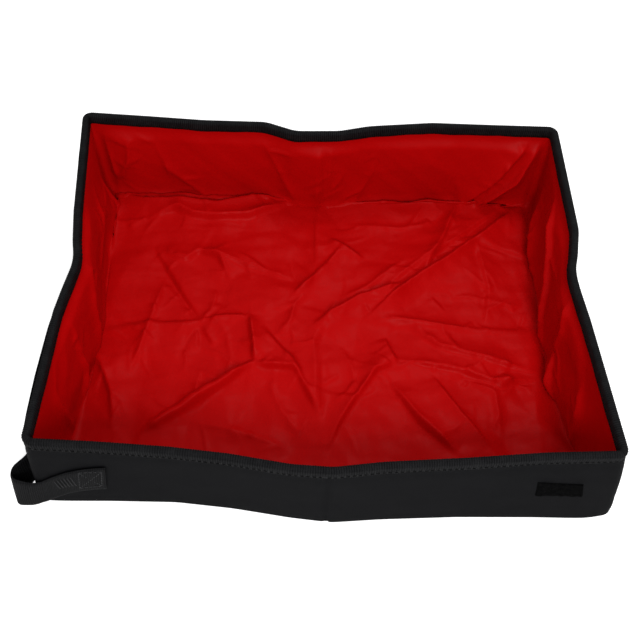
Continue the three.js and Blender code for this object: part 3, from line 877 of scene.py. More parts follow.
# Grain of the groups' noises, the ribs' threads and the level of the ribs' painted shade, and how the lint's
# two noises make its mask
grain = {"plain": 260, "ribbed": 320, "detail": 3, "ribThreads": 0.2, "ribShade": 0.45}
lintGrain = {"detail": 5, "roughness": 0.6, "fineTimes": 14, "fineDetail": 2, "from": 0.2, "gain": 4,
             "rough": 0.2}


def noiseNode(tree, place, scale, detail):
    noise = tree.nodes.new("ShaderNodeTexNoise")
    wire(tree, place, noise.inputs["Vector"])
    if isinstance(scale, (int, float)):
        noise.inputs["Scale"].default_value = scale
    else:
        wire(tree, scale, noise.inputs["Scale"])
    noise.inputs["Detail"].default_value = detail
    return noise


def threads(tree, operation, value, turns, share, level):
    # a wave of threads: share of the wave round its level
    wave = sums(tree, operation, sums(tree, "MULTIPLY", value, turns * math.pi))
    return sums(tree, "ADD", sums(tree, "MULTIPLY", wave, share), level)


def startWeave(name, kind):
    # the cloth's flat pattern in metres, counted in threads each way, with a noise that makes them wander
    tree, given, wanted = newGroup(name, {"Place": None, "Across": 0.001, "Along": 0.001, "Uneven": 0.5},
                                   ["Height", "Shade"])
    parts = tree.nodes.new("ShaderNodeSeparateXYZ")
    wire(tree, given["Place"], parts.inputs[0])
    noise = noiseNode(tree, given["Place"], grain[kind], grain["detail"]).outputs["Fac"]
    wander = sums(tree, "MULTIPLY", sums(tree, "SUBTRACT", noise, 0.5), given["Uneven"])
    u = sums(tree, "ADD", sums(tree, "DIVIDE", parts.outputs["X"], given["Across"]), wander)
    v = sums(tree, "DIVIDE", parts.outputs["Y"], given["Along"])
    return tree, wanted, noise, wander, u, v


def threadGroup():
    # plain weave: threads that pass over and under each other; Shade is half painted shade, darker between
    # the threads' crowns, and half random tone from the noise
    tree, wanted, noise, wander, u, v = startWeave("plainWeave", "plain")
    waveU, waveV = (sums(tree, "SINE", sums(tree, "MULTIPLY", value, math.pi))
                    for value in (u, sums(tree, "ADD", v, wander)))
    height = sums(tree, "ADD", sums(tree, "MULTIPLY", sums(tree, "MULTIPLY", waveU, waveV), 0.5), 0.5)
    wire(tree, height, wanted["Height"])
    halves = [sums(tree, "MULTIPLY", value, 0.5) for value in (height, noise)]
    wire(tree, sums(tree, "ADD", *halves), wanted["Shade"])
    return tree


def ribGroup():
    # ribs across a tape, with threads along it; Shade is painted shade, dark in the grooves between the ribs
    # and light on their crowns, varied by the noise
    tree, wanted, noise, _, u, v = startWeave("crossRibs", "ribbed")
    ribs = threads(tree, "COSINE", u, 2, 0.5, 0.5)
    along = threads(tree, "SINE", v, 1, grain["ribThreads"], 1 - grain["ribThreads"])
    height = sums(tree, "MULTIPLY", ribs, along)
    wire(tree, height, wanted["Height"])
    wire(tree, sums(tree, "MULTIPLY", height, sums(tree, "ADD", noise, grain["ribShade"])), wanted["Shade"])
    return tree


def dustGroup():
    # faint lint and rubbed patches, two sizes of noise
    tree, given, wanted = newGroup("lint", {"Place": None, "Size": 90.0, "Amount": 0.5}, ["Mask"])
    broad = noiseNode(tree, given["Place"], given["Size"], lintGrain["detail"])
    broad.inputs["Roughness"].default_value = lintGrain["roughness"]
    fineSize = sums(tree, "MULTIPLY", given["Size"], lintGrain["fineTimes"])
    fine = noiseNode(tree, given["Place"], fineSize, lintGrain["fineDetail"])
    blended = sums(tree, "MULTIPLY", broad.outputs["Fac"], fine.outputs["Fac"])
    lifted = sums(tree, "SUBTRACT", blended, lintGrain["from"])
    gain = sums(tree, "MULTIPLY", given["Amount"], lintGrain["gain"])
    wire(tree, sums(tree, "MULTIPLY", lifted, gain, clamp=True), wanted["Mask"])
    return tree


weaves = {"plain": threadGroup(), "ribbed": ribGroup()}
lint = dustGroup()


def mixed(tree, first, second, share):
    # mixes a colour or a link with a second colour
    node = tree.nodes.new("ShaderNodeMix")
    node.data_type = "RGBA"
    node.inputs["B"].default_value = (*second, 1)
    if isinstance(first, tuple):
        node.inputs["A"].default_value = (*first, 1)
    else:
        wire(tree, first, node.inputs["A"])
    wire(tree, share, node.inputs["Factor"])
    return node.outputs["Result"]


def clothMaterial(name, look):
    tree, shader, material = shaded(name)
    flat = tree.nodes.new("ShaderNodeUVMap")
    flat.uv_map = "pattern"
    place = flat.outputs[0]
    weave = useGroup(tree, weaves[look["weave"]], {"Place": place, "Across": look["across"],
                                                   "Along": look["along"], "Uneven": look["uneven"]})
    dust = useGroup(tree, lint, {"Place": place, "Size": look["lintSize"], "Amount": look["lint"]})
    # colour between the look's dark and light by the weave's Shade: painted shade of its threads or ribs,
    # with random tone
    shadedWeaveColour = mixed(tree, look["dark"], look["light"], weave["Shade"])
    wire(tree, mixed(tree, shadedWeaveColour, look["worn"], dust["Mask"]), shader.inputs["Base Color"])
    rubbed = sums(tree, "MULTIPLY", dust["Mask"], lintGrain["rough"])
    wire(tree, sums(tree, "ADD", rubbed, look["roughness"], clamp=True), shader.inputs["Roughness"])
    shader.inputs["Specular IOR Level"].default_value = look["specular"]
    bump = tree.nodes.new("ShaderNodeBump")
    bump.inputs["Strength"].default_value = look["bump"]
    bump.inputs["Distance"].default_value = look["relief"]
    wire(tree, weave["Height"], bump.inputs["Height"])
    wire(tree, bump.outputs[0], shader.inputs["Normal"])
    return material


# dark and light: colour in the weave's painted shade and on its crowns; worn: colour of lint and rubbed
# patches
clothLooks = {
    "shell": {
        "weave": "plain", "across": 0.0010, "along": 0.0008, "uneven": 0.5, "bump": 0.6, "relief": 0.0002,
        "lintSize": 60.0, "lint": 0.35, "roughness": 0.7, "specular": 0.03,
        "dark": (0.0016, 0.0016, 0.0019), "light": (0.0054, 0.0054, 0.0062), "worn": (0.0125, 0.0125, 0.014),
    },
    "lining": {
        "weave": "plain", "across": 0.0005, "along": 0.0005, "uneven": 0.6, "bump": 0.25, "relief": 0.00006,
        "lintSize": 40.0, "lint": 0.25, "roughness": 0.40, "specular": 0.03,
        "dark": (0.36, 0.0008, 0.0012), "light": (0.42, 0.0016, 0.0020), "worn": (0.46, 0.003, 0.003),
    },
    # the tape's ribs show mostly by painted shade, between dark in their grooves and light on their crowns
    "tape": {
        "weave": "ribbed", "across": 0.00165, "along": 0.0006, "uneven": 0.5, "bump": 0.5, "relief": 0.0002,
        "lintSize": 90.0, "lint": 0.4, "roughness": 0.6, "specular": 0.035,
        "dark": (0.0015, 0.0015, 0.0018), "light": (0.012, 0.012, 0.013), "worn": (0.022, 0.022, 0.023),
    },
    # the webbing's ribs show by painted shade, between dark in their grooves and light on their crowns
    "webbing": {
        "weave": "ribbed", "across": 0.0016, "along": 0.0009, "uneven": 0.8, "bump": 0.8, "relief": 0.0003,
        "lintSize": 80.0, "lint": 0.4, "roughness": 0.65, "specular": 0.04,
        "dark": (0.001, 0.001, 0.0012), "light": (0.0095, 0.0095, 0.0105), "worn": (0.017, 0.017, 0.018),
    },
    "thread": {
        "weave": "plain", "across": 0.0004, "along": 0.0004, "uneven": 0.5, "bump": 0.4, "relief": 0.0001,
        "lintSize": 200.0, "lint": 0.4, "roughness": 0.5, "specular": 0.2,
        "dark": (0.008, 0.008, 0.009), "light": (0.021, 0.021, 0.023), "worn": (0.06, 0.06, 0.06),
    },
    "seam": {
        "weave": "plain", "across": 0.0004, "along": 0.0004, "uneven": 0.5, "bump": 0.4, "relief": 0.0001,
        "lintSize": 200.0, "lint": 0.5, "roughness": 0.6, "specular": 0.03,
        "dark": (0.0006, 0.0006, 0.0008), "light": (0.002, 0.002, 0.002), "worn": (0.05, 0.05, 0.05),
    },
    "loop": {
        "weave": "plain", "across": 0.0007, "along": 0.0007, "uneven": 2.5, "bump": 1.0, "relief": 0.0005,
        "lintSize": 250.0, "lint": 0.5, "roughness": 0.9, "specular": 0.015,
        "dark": (0.0001, 0.0001, 0.0001), "light": (0.0034, 0.0034, 0.0036), "worn": (0.008, 0.008, 0.008),
    },
    "board": {
        "weave": "plain", "across": 0.004, "along": 0.2, "uneven": 0.05, "bump": 0.5, "relief": 0.0003,
        "lintSize": 30.0, "lint": 0.3, "roughness": 0.6, "specular": 0.4,
        "dark": (0.26, 0.23, 0.19), "light": (0.33, 0.30, 0.25), "worn": (0.20, 0.18, 0.15),
    },
}
cloths = {name: clothMaterial(name, look) for name, look in clothLooks.items()}
print("materials made")


def cutOf(label, kind):
    # the solids that a cut of the bag stands for, and the board that it lies on
    first, *rest = label.split("_")
    if first in ("base", "edge"):
        end, side = rest
        return [f"base_{end}_{side}_{kind}"], f"base_{end}_{side}_board"
    if first == "crease":
        return [f"base_{end}_{rest[0]}_{kind}" for end in ends], f"base_front_{rest[0]}_board"
    if first == "foot":
        side, end = rest
        return [f"{side}_{end}_{kind}"], f"base_{end}_{side}_board"
    if label == "back_crease":
        return [f"back_{side}_{kind}" for side in sides], "back_left_board"
    gusset = [f"{label}_gusset"] if first in ends else []
    return [f"{label}_{kind}", *gusset], f"{label}_board"


def blendCorner(piece, end, side, inset):
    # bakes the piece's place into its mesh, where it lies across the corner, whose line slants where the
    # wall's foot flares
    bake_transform(piece)


def blendBackCrease(piece):
    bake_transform(piece)


def carrySheet(piece, label, kind):
    # gives a cut of the bag to its body, or bakes its place into its mesh where it lies between two
    first, *rest = label.split("_")
    if first == "base":
        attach(piece, label)
        if kind == "lining":
            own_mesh(piece)
    elif first == "edge":
        end, side = rest
        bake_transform(piece)
    elif first == "crease":
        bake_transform(piece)
    elif first == "foot":
        side, end = rest
        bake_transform(piece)
    elif label == "back_crease":
        blendBackCrease(piece)
    elif first in ends:
        blendCorner(piece, first, rest[0], tray["panel"] if kind == "lining" else 0)
    else:
        side, end = first, rest[0]
        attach(piece, f"{side}_{end}_wall")
        if kind == "lining":
            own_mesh(piece)


def dressBag(kind, points, faces, thickness):
    # cuts the bag into the pieces that its bodies carry
    normals = vertexNormals(points, faces)
    byLabel = {}
    for f in faces:
        byLabel.setdefault(f[2], []).append(f)
    for label, own in byLabel.items():
        piece = clothPiece(f"{kind}_{label}", points, normals, own, thickness, cloths[kind])
        nodes, board = cutOf(label, kind)
        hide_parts(*nodes)
        carrySheet(piece, label, kind)


linerBag = {"foldRadius": 0.0075, "cornerRadius": 0.006, "rimRadius": 0.0012, "spacing": 0.0012,
            "flatRows": 2, "bendRows": 7, "wallRows": 58, "top": tray["clothTop"] - 0.0016}
gussetPlace = {"side": (-0.012, -0.006), "corner": (0.0, 0.02)}


def inGusset(points):
    # 1 on the corner gussets of the side walls, which fold flat against the front and back walls
    x, y, z = np.abs(points[:, 0]), np.abs(points[:, 1]), points[:, 2]
    onSide = smooth(x - tray["halfWidth"] + tray["panel"], *gussetPlace["side"])
    return onSide * (1 - smooth(tray["halfDepth"] - y - z, *gussetPlace["corner"]))


def makeLining():
    bag = makeBag(tray["panel"], tray["panel"], **linerBag)
    points = softBox(bag["points"], bag["hold"])
    faces = bagFaces(bag, bag["first"])
    normals = vertexNormals(points, faces)
    lift = linerLift(bag, points)
    x, y, z = points.T
    onWall = smooth(z, *crinkle["footFade"])
    lift += crinkled(x + z, y) * (1 - onWall * (1 - crinkle["wallShare"])) \
        * (1 - smooth(z, *crinkle["rimFade"])) * (1 - inGusset(points) * (1 - crinkle["gussetShare"]))
    points = points + normals * lift[:, None]
    print("lining:", len(points), "points")
    dressBag("lining", points, faces, tray["cloth"])


shellBag = {"foldRadius": 0.0022, "cornerRadius": 0.007, "rimRadius": 0.0072, "spacing": 0.004,
            "flatRows": 3, "bendRows": 4, "wallRows": 24, "top": tray["clothTop"]}
shellBuckle = {"share": 0.12, "crease": 0.0018, "creaseHalf": 0.001, "footFade": (0.004, 0.020)}


def makeShell():
    bag = makeBag(0.0, 0.0, **shellBag)
    points = softBox(bag["points"], bag["hold"])
    faces = [(numbers[::-1], places[::-1], label) for numbers, places, label in bagFaces(bag, 0)]
    x, y, z = bag["points"].T
    onWalls = smooth(z, *shellBuckle["footFade"]) * (1 - smooth(z, *crinkle["rimFade"]))
    buckle = crinkled(x + y, z) * shellBuckle["share"] * onWalls
    points = points + vertexNormals(points, faces) * buckle[:, None]
    # the front wall is drawn in along its crease
    half = shellBuckle["creaseHalf"]
    points[(np.abs(x) < half) & (y < -tray["foldLine"]) & (z > half), 1] += shellBuckle["crease"]
    print("shell:", len(points), "points")
    dressBag("shell", points, faces, tray["cloth"])


makeLining()
makeShell()

# Boards between the cloths

boardCut = {"columns": 14, "rows": 6, "inset": 0.0068}


def slabPiece(name, outer, inner, material, smoothFaces):
    # closed slab between two matching grids of points
    rowsUp, columns = outer.shape[:2]
    count = rowsUp * columns
    quads = []
    for j in range(rowsUp - 1):
        for i in range(columns - 1):
            a = j * columns + i
            quads.append([a, a + 1, a + 1 + columns, a + columns])
            quads.append([a + columns + count, a + 1 + columns + count, a + 1 + count, a + count])
    ring = list(range(columns)) + [j * columns + columns - 1 for j in range(1, rowsUp)]
    ring += [(rowsUp - 1) * columns + i for i in range(columns - 2, -1, -1)]
    ring += [j * columns for j in range(rowsUp - 2, 0, -1)]
    for a, b in zip(ring, ring[1:] + ring[:1]):
        quads.append([b, a, a + count, b + count])
    points = np.concatenate([outer.reshape(-1, 3), inner.reshape(-1, 3)])
    uvs = [(points[n][0] + points[n][1], points[n][2]) for q in quads for n in q]
    piece = newMesh(name, points + np.array(tray["centre"]), quads, [material], uvs)
    if not smoothFaces:
        piece.data.polygons.foreach_set("use_smooth", [False] * len(quads))
    return piece


def wallBoard(wall, half, name, node, body):
    isEnd = wall in ends
    inset = boardCut["inset"]
    layers = []
    for depth in (tray["boardFrom"], tray["boardTo"]):
        grid = np.zeros((boardCut["rows"] + 1, boardCut["columns"] + 1, 3))
        for j in range(boardCut["rows"] + 1):
            up = inset + (tray["clothTop"] - tray["gap"] - inset) * j / boardCut["rows"]
            for i in range(boardCut["columns"] + 1):
                t = i / boardCut["columns"]
                if isEnd:
                    grid[j, i] = (half * (inset + (tray["halfWidth"] - 2 * inset) * t),
                                  ends[wall] * (tray["halfDepth"] - depth), up)
                else:
                    start = bagCut["diagonalStart"] + up + inset
                    place = tray["halfDepth"] - start - (tray["halfDepth"] - start - inset) * t
                    grid[j, i] = (sides[wall] * (tray["halfWidth"] - depth), half * place, up)
        layers.append(softBox(grid, np.ones(grid.shape[:2])))
    piece = slabPiece(name, *layers, cloths["board"], False)
    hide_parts(node)
    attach(piece, body)


for end in ends:
    for side in sides:
        wallBoard(end, sides[side], f"board_{end}_{side}", f"{end}_{side}_board", f"{end}_{side}_wall")
        wallBoard(side, ends[end], f"board_{side}_{end}", f"{side}_{end}_board", f"{side}_{end}_wall")
print("boards made")

# Ribbed tape over the rim

rim = {"depth": 0.0092, "proud": 0.0011, "cloth": 0.0008, "ribPitch": 0.00165, "ribHeight": 0.00016,
       "stepsPerRib": 4, "aheadSteps": 4, "roundSteps": 5, "bandShare": 0.3,
       "swells": ((0.0003, 90, 0), (0.0002, 233, 1)), "cornerReach": 0.0052, "stitchLength": 0.0027,
       "stitchPitch": 0.0040, "stitchRise": 0.0016, "threadRadius": 0.00028}


def rimLoop():
    # plan line of the straight tray's cloth at the rim, all the way round
    bag = makeBag(0.0, 0.0, **{**shellBag, "spacing": 0.002, "wallRows": 1})
    front, right, back, left = (bag["grids"][wall][-1] for wall in ("front", "right", "back", "left"))
    return np.concatenate([front, right[1:], back[::-1][1:], left[::-1][1:-1]])


def alongRim():
    # even stations along the soft rim: distance, place, place on the straight rim, and the way inward
    ideal = rimLoop()
    closed = np.concatenate([ideal, ideal[:1]])
    soft = softBox(closed, np.ones(len(closed)))
    run = runAlong(soft[:, :2])
    step = rim["ribPitch"] / rim["stepsPerRib"]
    count = int(run[-1] / step) // rim["stepsPerRib"] * rim["stepsPerRib"]
    places = np.arange(count) * run[-1] / count
    spots, plain = (np.stack([np.interp(places, run, rows[:, k]) for k in (0, 1)], -1)
                    for rows in (soft, closed))
    ahead = np.roll(spots, -rim["aheadSteps"], 0) - np.roll(spots, rim["aheadSteps"], 0)
    ahead /= np.linalg.norm(ahead, axis=1, keepdims=True)
    inward = np.stack([-ahead[:, 1], ahead[:, 0]], -1)
    return places, run[-1], spots, plain, inward


def rimLabel(x, y):
    # which piece of tape a place of the straight rim belongs to
    end = "front" if y < 0 else "back"
    side = "left" if x < 0 else "right"
    diagonal = bagCut["diagonalStart"] + tray["clothTop"]
    if abs(abs(y) - tray["halfDepth"]) < rim["cornerReach"] or tray["halfDepth"] - abs(y) < diagonal:
        if end == "back" and abs(x) < bagCut["backCreaseHalf"]:
            return "back_crease"
        return f"{end}_{side}"
    return f"{side}_{end}"


def tapeSection():
    # folded tape from its outer edge over the rim to its inner edge: across (inward), up, and facing
    outside, inside = -rim["proud"], tray["panel"] + rim["proud"]
    top, low = tray["rimTop"], tray["rimTop"] - rim["depth"]
    band = low + rim["depth"] * rim["bandShare"]
    radius = (inside - outside) / 2
    middle = (inside + outside) / 2
    path = [(outside, low), (outside, band), (outside, top - radius)]
    for k in range(1, rim["roundSteps"] * 2):
        angle = math.pi * k / (rim["roundSteps"] * 2)
        path.append((middle - radius * math.cos(angle), top - radius + radius * math.sin(angle)))
    path += [(inside, top - radius), (inside, band), (inside, low)]
    outer = np.array(path)
    ahead = np.gradient(outer, axis=0)
    ahead /= np.linalg.norm(ahead, axis=1, keepdims=True)
    return outer, np.stack([-ahead[:, 1], ahead[:, 0]], -1)


def tapeRings(places, spots, inward, outer, facing):
    # the tape's closed section at every station, with its rib and a slightly uneven edge
    wide = len(outer)
    edge = np.zeros((wide, 1))
    edge[[0, -1]] = 1
    ribs = rim["ribHeight"] * np.cos(2 * math.pi * np.arange(len(places)) / rim["stepsPerRib"])
    rings = np.zeros((len(places), 2 * wide, 3))
    for k, place in enumerate(places):
        swell = sum(high * math.sin(place * rate + start) for high, rate, start in rim["swells"])
        section = outer + facing * ribs[k] - edge * [0, swell]
        both = np.concatenate([section, (section - facing * rim["cloth"])[::-1]])
        rings[k, :, :2] = spots[k] + both[:, :1] * inward[k]
        rings[k, :, 2] = both[:, 1]
    return rings


def tapeFaces(distances, size, acrossUv):
    # quads of one length of tape, with a cap at each end
    quads, uvs = [], []
    for n, (s, t) in enumerate(zip(distances, distances[1:])):
        for i in range(size):
            j = (i + 1) % size
            a, b = n * size + i, n * size + j
            quads.append([a, a + size, b + size, b])
            uvs += [(s, acrossUv[i]), (t, acrossUv[i]), (t, acrossUv[j]), (s, acrossUv[j])]
    for n in (0, len(distances) - 1):
        for i in range(size // 2 - 1):
            cap = [n * size + i, n * size + i + 1, n * size + size - 2 - i, n * size + size - 1 - i]
            quads.append(cap if n == 0 else cap[::-1])
            uvs += [(0, 0)] * 4
    return quads, uvs


def makeTape():
    places, total, spots, plain, inward = alongRim()
    outer, facing = tapeSection()
    rings = tapeRings(places, spots, inward, outer, facing)
    lengths = runAlong(outer)
    acrossUv = np.concatenate([lengths, lengths[::-1]])
    count = len(places)
    groups = {}
    for k in range(count):
        groups.setdefault(rimLabel(*plain[k]), []).append(k)
    made = {}
    for label, stations in groups.items():
        # a length that runs over the loop's start is put in one row
        breaks = [n for n, (a, b) in enumerate(zip(stations, stations[1:])) if b != a + 1]
        if breaks:
            cut = breaks[0] + 1
            stations = stations[cut:] + [s + count for s in stations[:cut]]
        stations = stations + [stations[-1] + 1]
        points = np.concatenate([rings[s % count] for s in stations])
        quads, uvs = tapeFaces([s * total / count for s in stations], rings.shape[1], acrossUv)
        stitchPoints, stitchFaces = rimStitches(stations, total, count, spots, inward, outer)
        kinds = [0] * len(quads) + [1] * len(stitchFaces)
        quads += [[v + len(points) for v in f] for f in stitchFaces]
        uvs += [(threadStep * m, 0.0) for f in stitchFaces for m in range(len(f))]
        points = np.concatenate([points, stitchPoints]) + np.array(tray["centre"])
        piece = newMesh(f"tape_{label}", points, quads, [cloths["tape"], cloths["seam"]], uvs,
                        faceMaterials=kinds)
        made[label] = (piece, len(stations) * total / count)
    return made, lengths[-1]


# One stitch: its rings as share of its length and rise in radii, and where their five corners stand
dash = {"rings": ((0.18, 0.2), (0.5, 0.55), (0.82, 0.2)), "angles": (0.0, 1.2566, 2.5133, 3.7699, 5.0265)}
threadStep = 0.001  # metres of thread pattern from one corner of a face to the next


def threadDash(start, end, radius, outward):
    # a short thread, sunk at both ends
    along = (end - start) / np.linalg.norm(end - start)
    side = np.cross(along, outward)
    points = [start - outward * radius]
    for share, rise in dash["rings"]:
        centre = start + (end - start) * share + outward * radius * rise
        for angle in dash["angles"]:
            points.append(centre + (side * math.cos(angle) + outward * math.sin(angle)) * radius)
    points.append(end - outward * radius)
    size, last = len(dash["angles"]), len(points) - 1
    faces = [[0, 1 + (k + 1) % size, 1 + k] for k in range(size)]
    for first in range(1, last - size, size):
        for k in range(size):
            a, b = first + k, first + (k + 1) % size
            faces.append([a, b, b + size, a + size])
    faces += [[last, last - size + k, last - size + (k + 1) % size] for k in range(size)]
    return points, faces


def stitched(dashes, radius):
    # points and faces of a row of stitches: start, end and the way out of the cloth
    points, faces = [], []
    for start, end, outward in dashes:
        own, ownFaces = threadDash(start, end, radius, outward)
        faces += [[v + len(points) for v in f] for f in ownFaces]
        points += own
    return np.array(points), faces


def rimStitches(stations, total, count, spots, inward, outer):
    dashes = []
    step = total / count
    up = tray["rimTop"] - rim["depth"] + rim["stitchRise"]
    for across, sign in ((outer[0][0], -1), (outer[-1][0], 1)):
        first = math.ceil(stations[0] * step / rim["stitchPitch"])
        last = int((stations[-1] * step - rim["stitchLength"]) / rim["stitchPitch"])
        for n in range(first, last + 1):
            start, tips = n * rim["stitchPitch"], []
            for distance in (start, start + rim["stitchLength"]):
                k = int(distance / step) % count
                tips.append(np.array([*(spots[k] + (across + sign * rim["ribHeight"]) * inward[k]), up]))
            k = int((start + rim["stitchLength"] / 2) / step) % count
            dashes.append((*tips, np.array([*(sign * inward[k]), 0.0])))
    return stitched(dashes, rim["threadRadius"])


tapes, tapeWidth = makeTape()
for label, (piece, length) in tapes.items():
    words = label.split("_")
    if label == "back_crease":
        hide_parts("back_left_binding", "back_right_binding")
        blendBackCrease(piece)
    elif words[0] in ends:
        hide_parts(f"{label}_binding", f"{label}_gusset_binding")
        blendCorner(piece, *words, 0)
    else:
        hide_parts(f"{label}_binding")
        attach(piece, f"{label}_wall")
print("tape made")

# Closing strap of flat webbing. Its line is in mm in the tray's frame, from its sewn end: "sewn" is x and
# the height of the lower edge, and "loose" is x, y and height, then how far the lower edge stands off the
# upper in x and y. "cuts" gives each piece's name, the axis and place of its end, its solids and its bodies.
strap = {
    "width": 0.039,
    "thickness": 0.0016,
    "standOff": 0.0006,
    "step": 0.0010,
    "smoothings": 3,
    "rows": 14,
    "edgeRound": 0.0007,
    "edgeWidth": 0.0016,
    "sag": 0.0006,
    "sagRate": 0.11,
    "turnedAt": -219.0,
    "sewnReach": -205.0,
    "sewn": [(-147.5, 29.5), (-156, 28.0), (-165, 25.0), (-176, 20.0), (-189, 10.2), (-196, 3.8),
             (-200, 1.6)],
    "sewnLean": (-5.8, 0.0),
    "loose": [(-203.0, -151.0, 0.7, -5.6, -1.0), (-207.0, -150.6, 0.4, -5.4, -2.2),
              (-211.4, -149.7, 0.5, -5.1, -3.3), (-215.8, -148.6, 0.4, -4.7, -4.4),
              (-218.8, -146.8, 0.4, -4.2, -5.8), (-220.6, -144.0, 0.4, -2.8, -7.4),
              (-220.8, -141.5, 0.6, -1.7, -7.5), (-219.5, -138.0, 0.9, -1.2, -6.0),
              (-216.5, -134.8, 1.2, -1.2, -4.0), (-212.7, -131.0, 1.6, -2.0, -2.5),
              (-209.8, -126.0, 2.2, -1.2, -2.0), (-208.3, -119.0, 3.2, 0.0, 0.0),
              (-208.0, -110.0, 4.4, 0.0, 0.0), (-208.0, -95.0, 6.4, 0.0, 0.0),
              (-208.0, -77.3, 8.6, 0.0, 0.0), (-208.0, -50.0, 12.2, 0.0, 0.0),
              (-208.0, -19.4, 16.2, 0.0, 0.0)],
    "cuts": [("strapSewn", "x", -196.0, ["strap_sewn_end"], ["front_left_wall"]),
             ("strapTurn", "x", -207.0, ["strap_tail"], ["front_left_wall", "strap_tail"]),
             ("strapTail", "y", -84.0, ["strap_tail"], ["strap_tail"]),
             ("strapWrap", "y", -71.0, ["strap_tail", "strap_end"], ["strap_tail", "strap_end"]),
             ("strapEnd", "y", 99.0, ["strap_end"], ["strap_end"])],
    "threadRadius": 0.00032,
    "boxStitch": [(-171.5, 33.5), (-155.0, 38.0), (-150.5, 63.5), (-167.0, 61.0)],
    "tackFrom": -187.5, "tackTo": -174.5, "tacks": 6, "tackLow": 12.0, "tackHigh": 31.0, "tackLean": 1.5,
    "stitch": 0.0026, "stitchGap": 0.0006, "stitchEnds": 0.06, "nearest": 6,
}


def frontFace(x, z):
    return -tray["halfDepth"] - wallOffset("front", np.asarray(x, float), np.asarray(z, float))


def strapLine():
    lean = [v / 1000 for v in strap["sewnLean"]]
    sewn = [(x / 1000, float(frontFace(x / 1000, z / 1000 + strap["width"] / 2)) - strap["standOff"]
             - strap["thickness"] / 2, z / 1000, *lean) for x, z in strap["sewn"]]
    loose = [tuple(v / 1000 for v in row) for row in strap["loose"]]
    table = np.array(sewn + loose)
    run = runAlong(table[:, :3])
    places = np.linspace(0, run[-1], int(run[-1] / strap["step"]) + 1)
    line = np.stack([np.interp(places, run, table[:, k]) for k in range(5)], -1)
    for _ in range(strap["smoothings"]):
        line[1:-1] = (line[:-2] + 2 * line[1:-1] + line[2:]) / 4
    return places, line


def strapRings(line):
    ahead = np.gradient(line[:, :2], axis=0)
    ahead /= np.linalg.norm(ahead, axis=1, keepdims=True)
    outward = np.stack([-ahead[:, 1], ahead[:, 0]], -1)
    shares = np.linspace(0, 1, strap["rows"] + 1)
    edge = np.minimum(shares, 1 - shares) * strap["width"]
    half = strap["thickness"] / 2 - np.maximum(0, 1 - edge / strap["edgeWidth"]) * strap["edgeRound"]
    count = len(shares)
    rings = np.zeros((len(line), 2 * count, 3))
    for k, place in enumerate(line):
        sag = strap["sag"] * math.sin(k * strap["sagRate"]) * np.sin(shares * math.pi)
        for side, column in ((1, np.s_[:count]), (-1, np.s_[2 * count - 1:count - 1:-1])):
            rings[k, column, :2] = place[:2] + outward[k] * (side * half + sag)[:, None]
            rings[k, column, :2] += np.outer(1 - shares, place[3:])
            rings[k, column, 2] = place[2] + shares * strap["width"]
    return rings


def ringTube(name, rings, places, acrossUv, material):
    # closes a row of rings into one solid with its own end caps
    size = rings.shape[1]
    half = size // 2
    quads, uvs = [], []
    for n in range(len(rings) - 1):
        for i in range(size):
            j = (i + 1) % size
            a, b = n * size + i, n * size + j
            quads.append([a, b, b + size, a + size])
            uvs += [(places[n], acrossUv[i]), (places[n], acrossUv[j]), (places[n + 1], acrossUv[j]),
                    (places[n + 1], acrossUv[i])]
    for n in (0, len(rings) - 1):
        for i in range(half - 1):
            cap = [n * size + i, n * size + i + 1, n * size + size - 2 - i, n * size + size - 1 - i]
            quads.append(cap[::-1] if n == 0 else cap)
            uvs += [(places[n], acrossUv[i])] * 4
    return newMesh(name, rings.reshape(-1, 3) + np.array(tray["centre"]), quads, [material], uvs)


def threadPiece(name, dashes, radius):
    points, faces = stitched(dashes, radius)
    uvs = [(threadStep * m, 0.0) for f in faces for m in range(len(f))]
    return newMesh(name, points + np.array(tray["centre"]), faces, [cloths["thread"]], uvs)


def dashed(path):
    # cuts a line of points into stitches
    dashes = []
    for a, b in zip(path, path[1:]):
        a, b = np.array(a), np.array(b)
        count = max(1, round(np.linalg.norm(b - a) / (strap["stitch"] + strap["stitchGap"])))
        for k in range(count):
            shares = (k + strap["stitchEnds"], k + (1 - strap["stitchEnds"]))
            dashes.append([a + (b - a) * share / count for share in shares])
    return dashes


def makeStrap():
    places, line = strapLine()
    rings = strapRings(line)
    half = rings.shape[1] // 2
    acrossUv = np.concatenate([np.linspace(0, strap["width"], half), np.linspace(strap["width"], 0, half)])
    turned = int(np.argmax(line[:, 0] < strap["turnedAt"] / 1000))
    start, before = 0, None
    for name, axis, limit, nodes, bodies in strap["cuts"]:
        limit /= 1000
        past = line[:, 0] < limit if axis == "x" else (line[:, 1] > limit) & (np.arange(len(line)) > turned)
        past[-1] = True
        stop = start + int(np.argmax(past[start:]))
        piece = ringTube(name, rings[start:stop + 1], places[start:stop + 1], acrossUv, cloths["webbing"])
        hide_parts(*nodes)
        if len(bodies) == 1:
            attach(piece, *bodies)
        else:
            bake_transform(piece)
        start, before = stop, limit
    makeStrapStitches(line, rings)


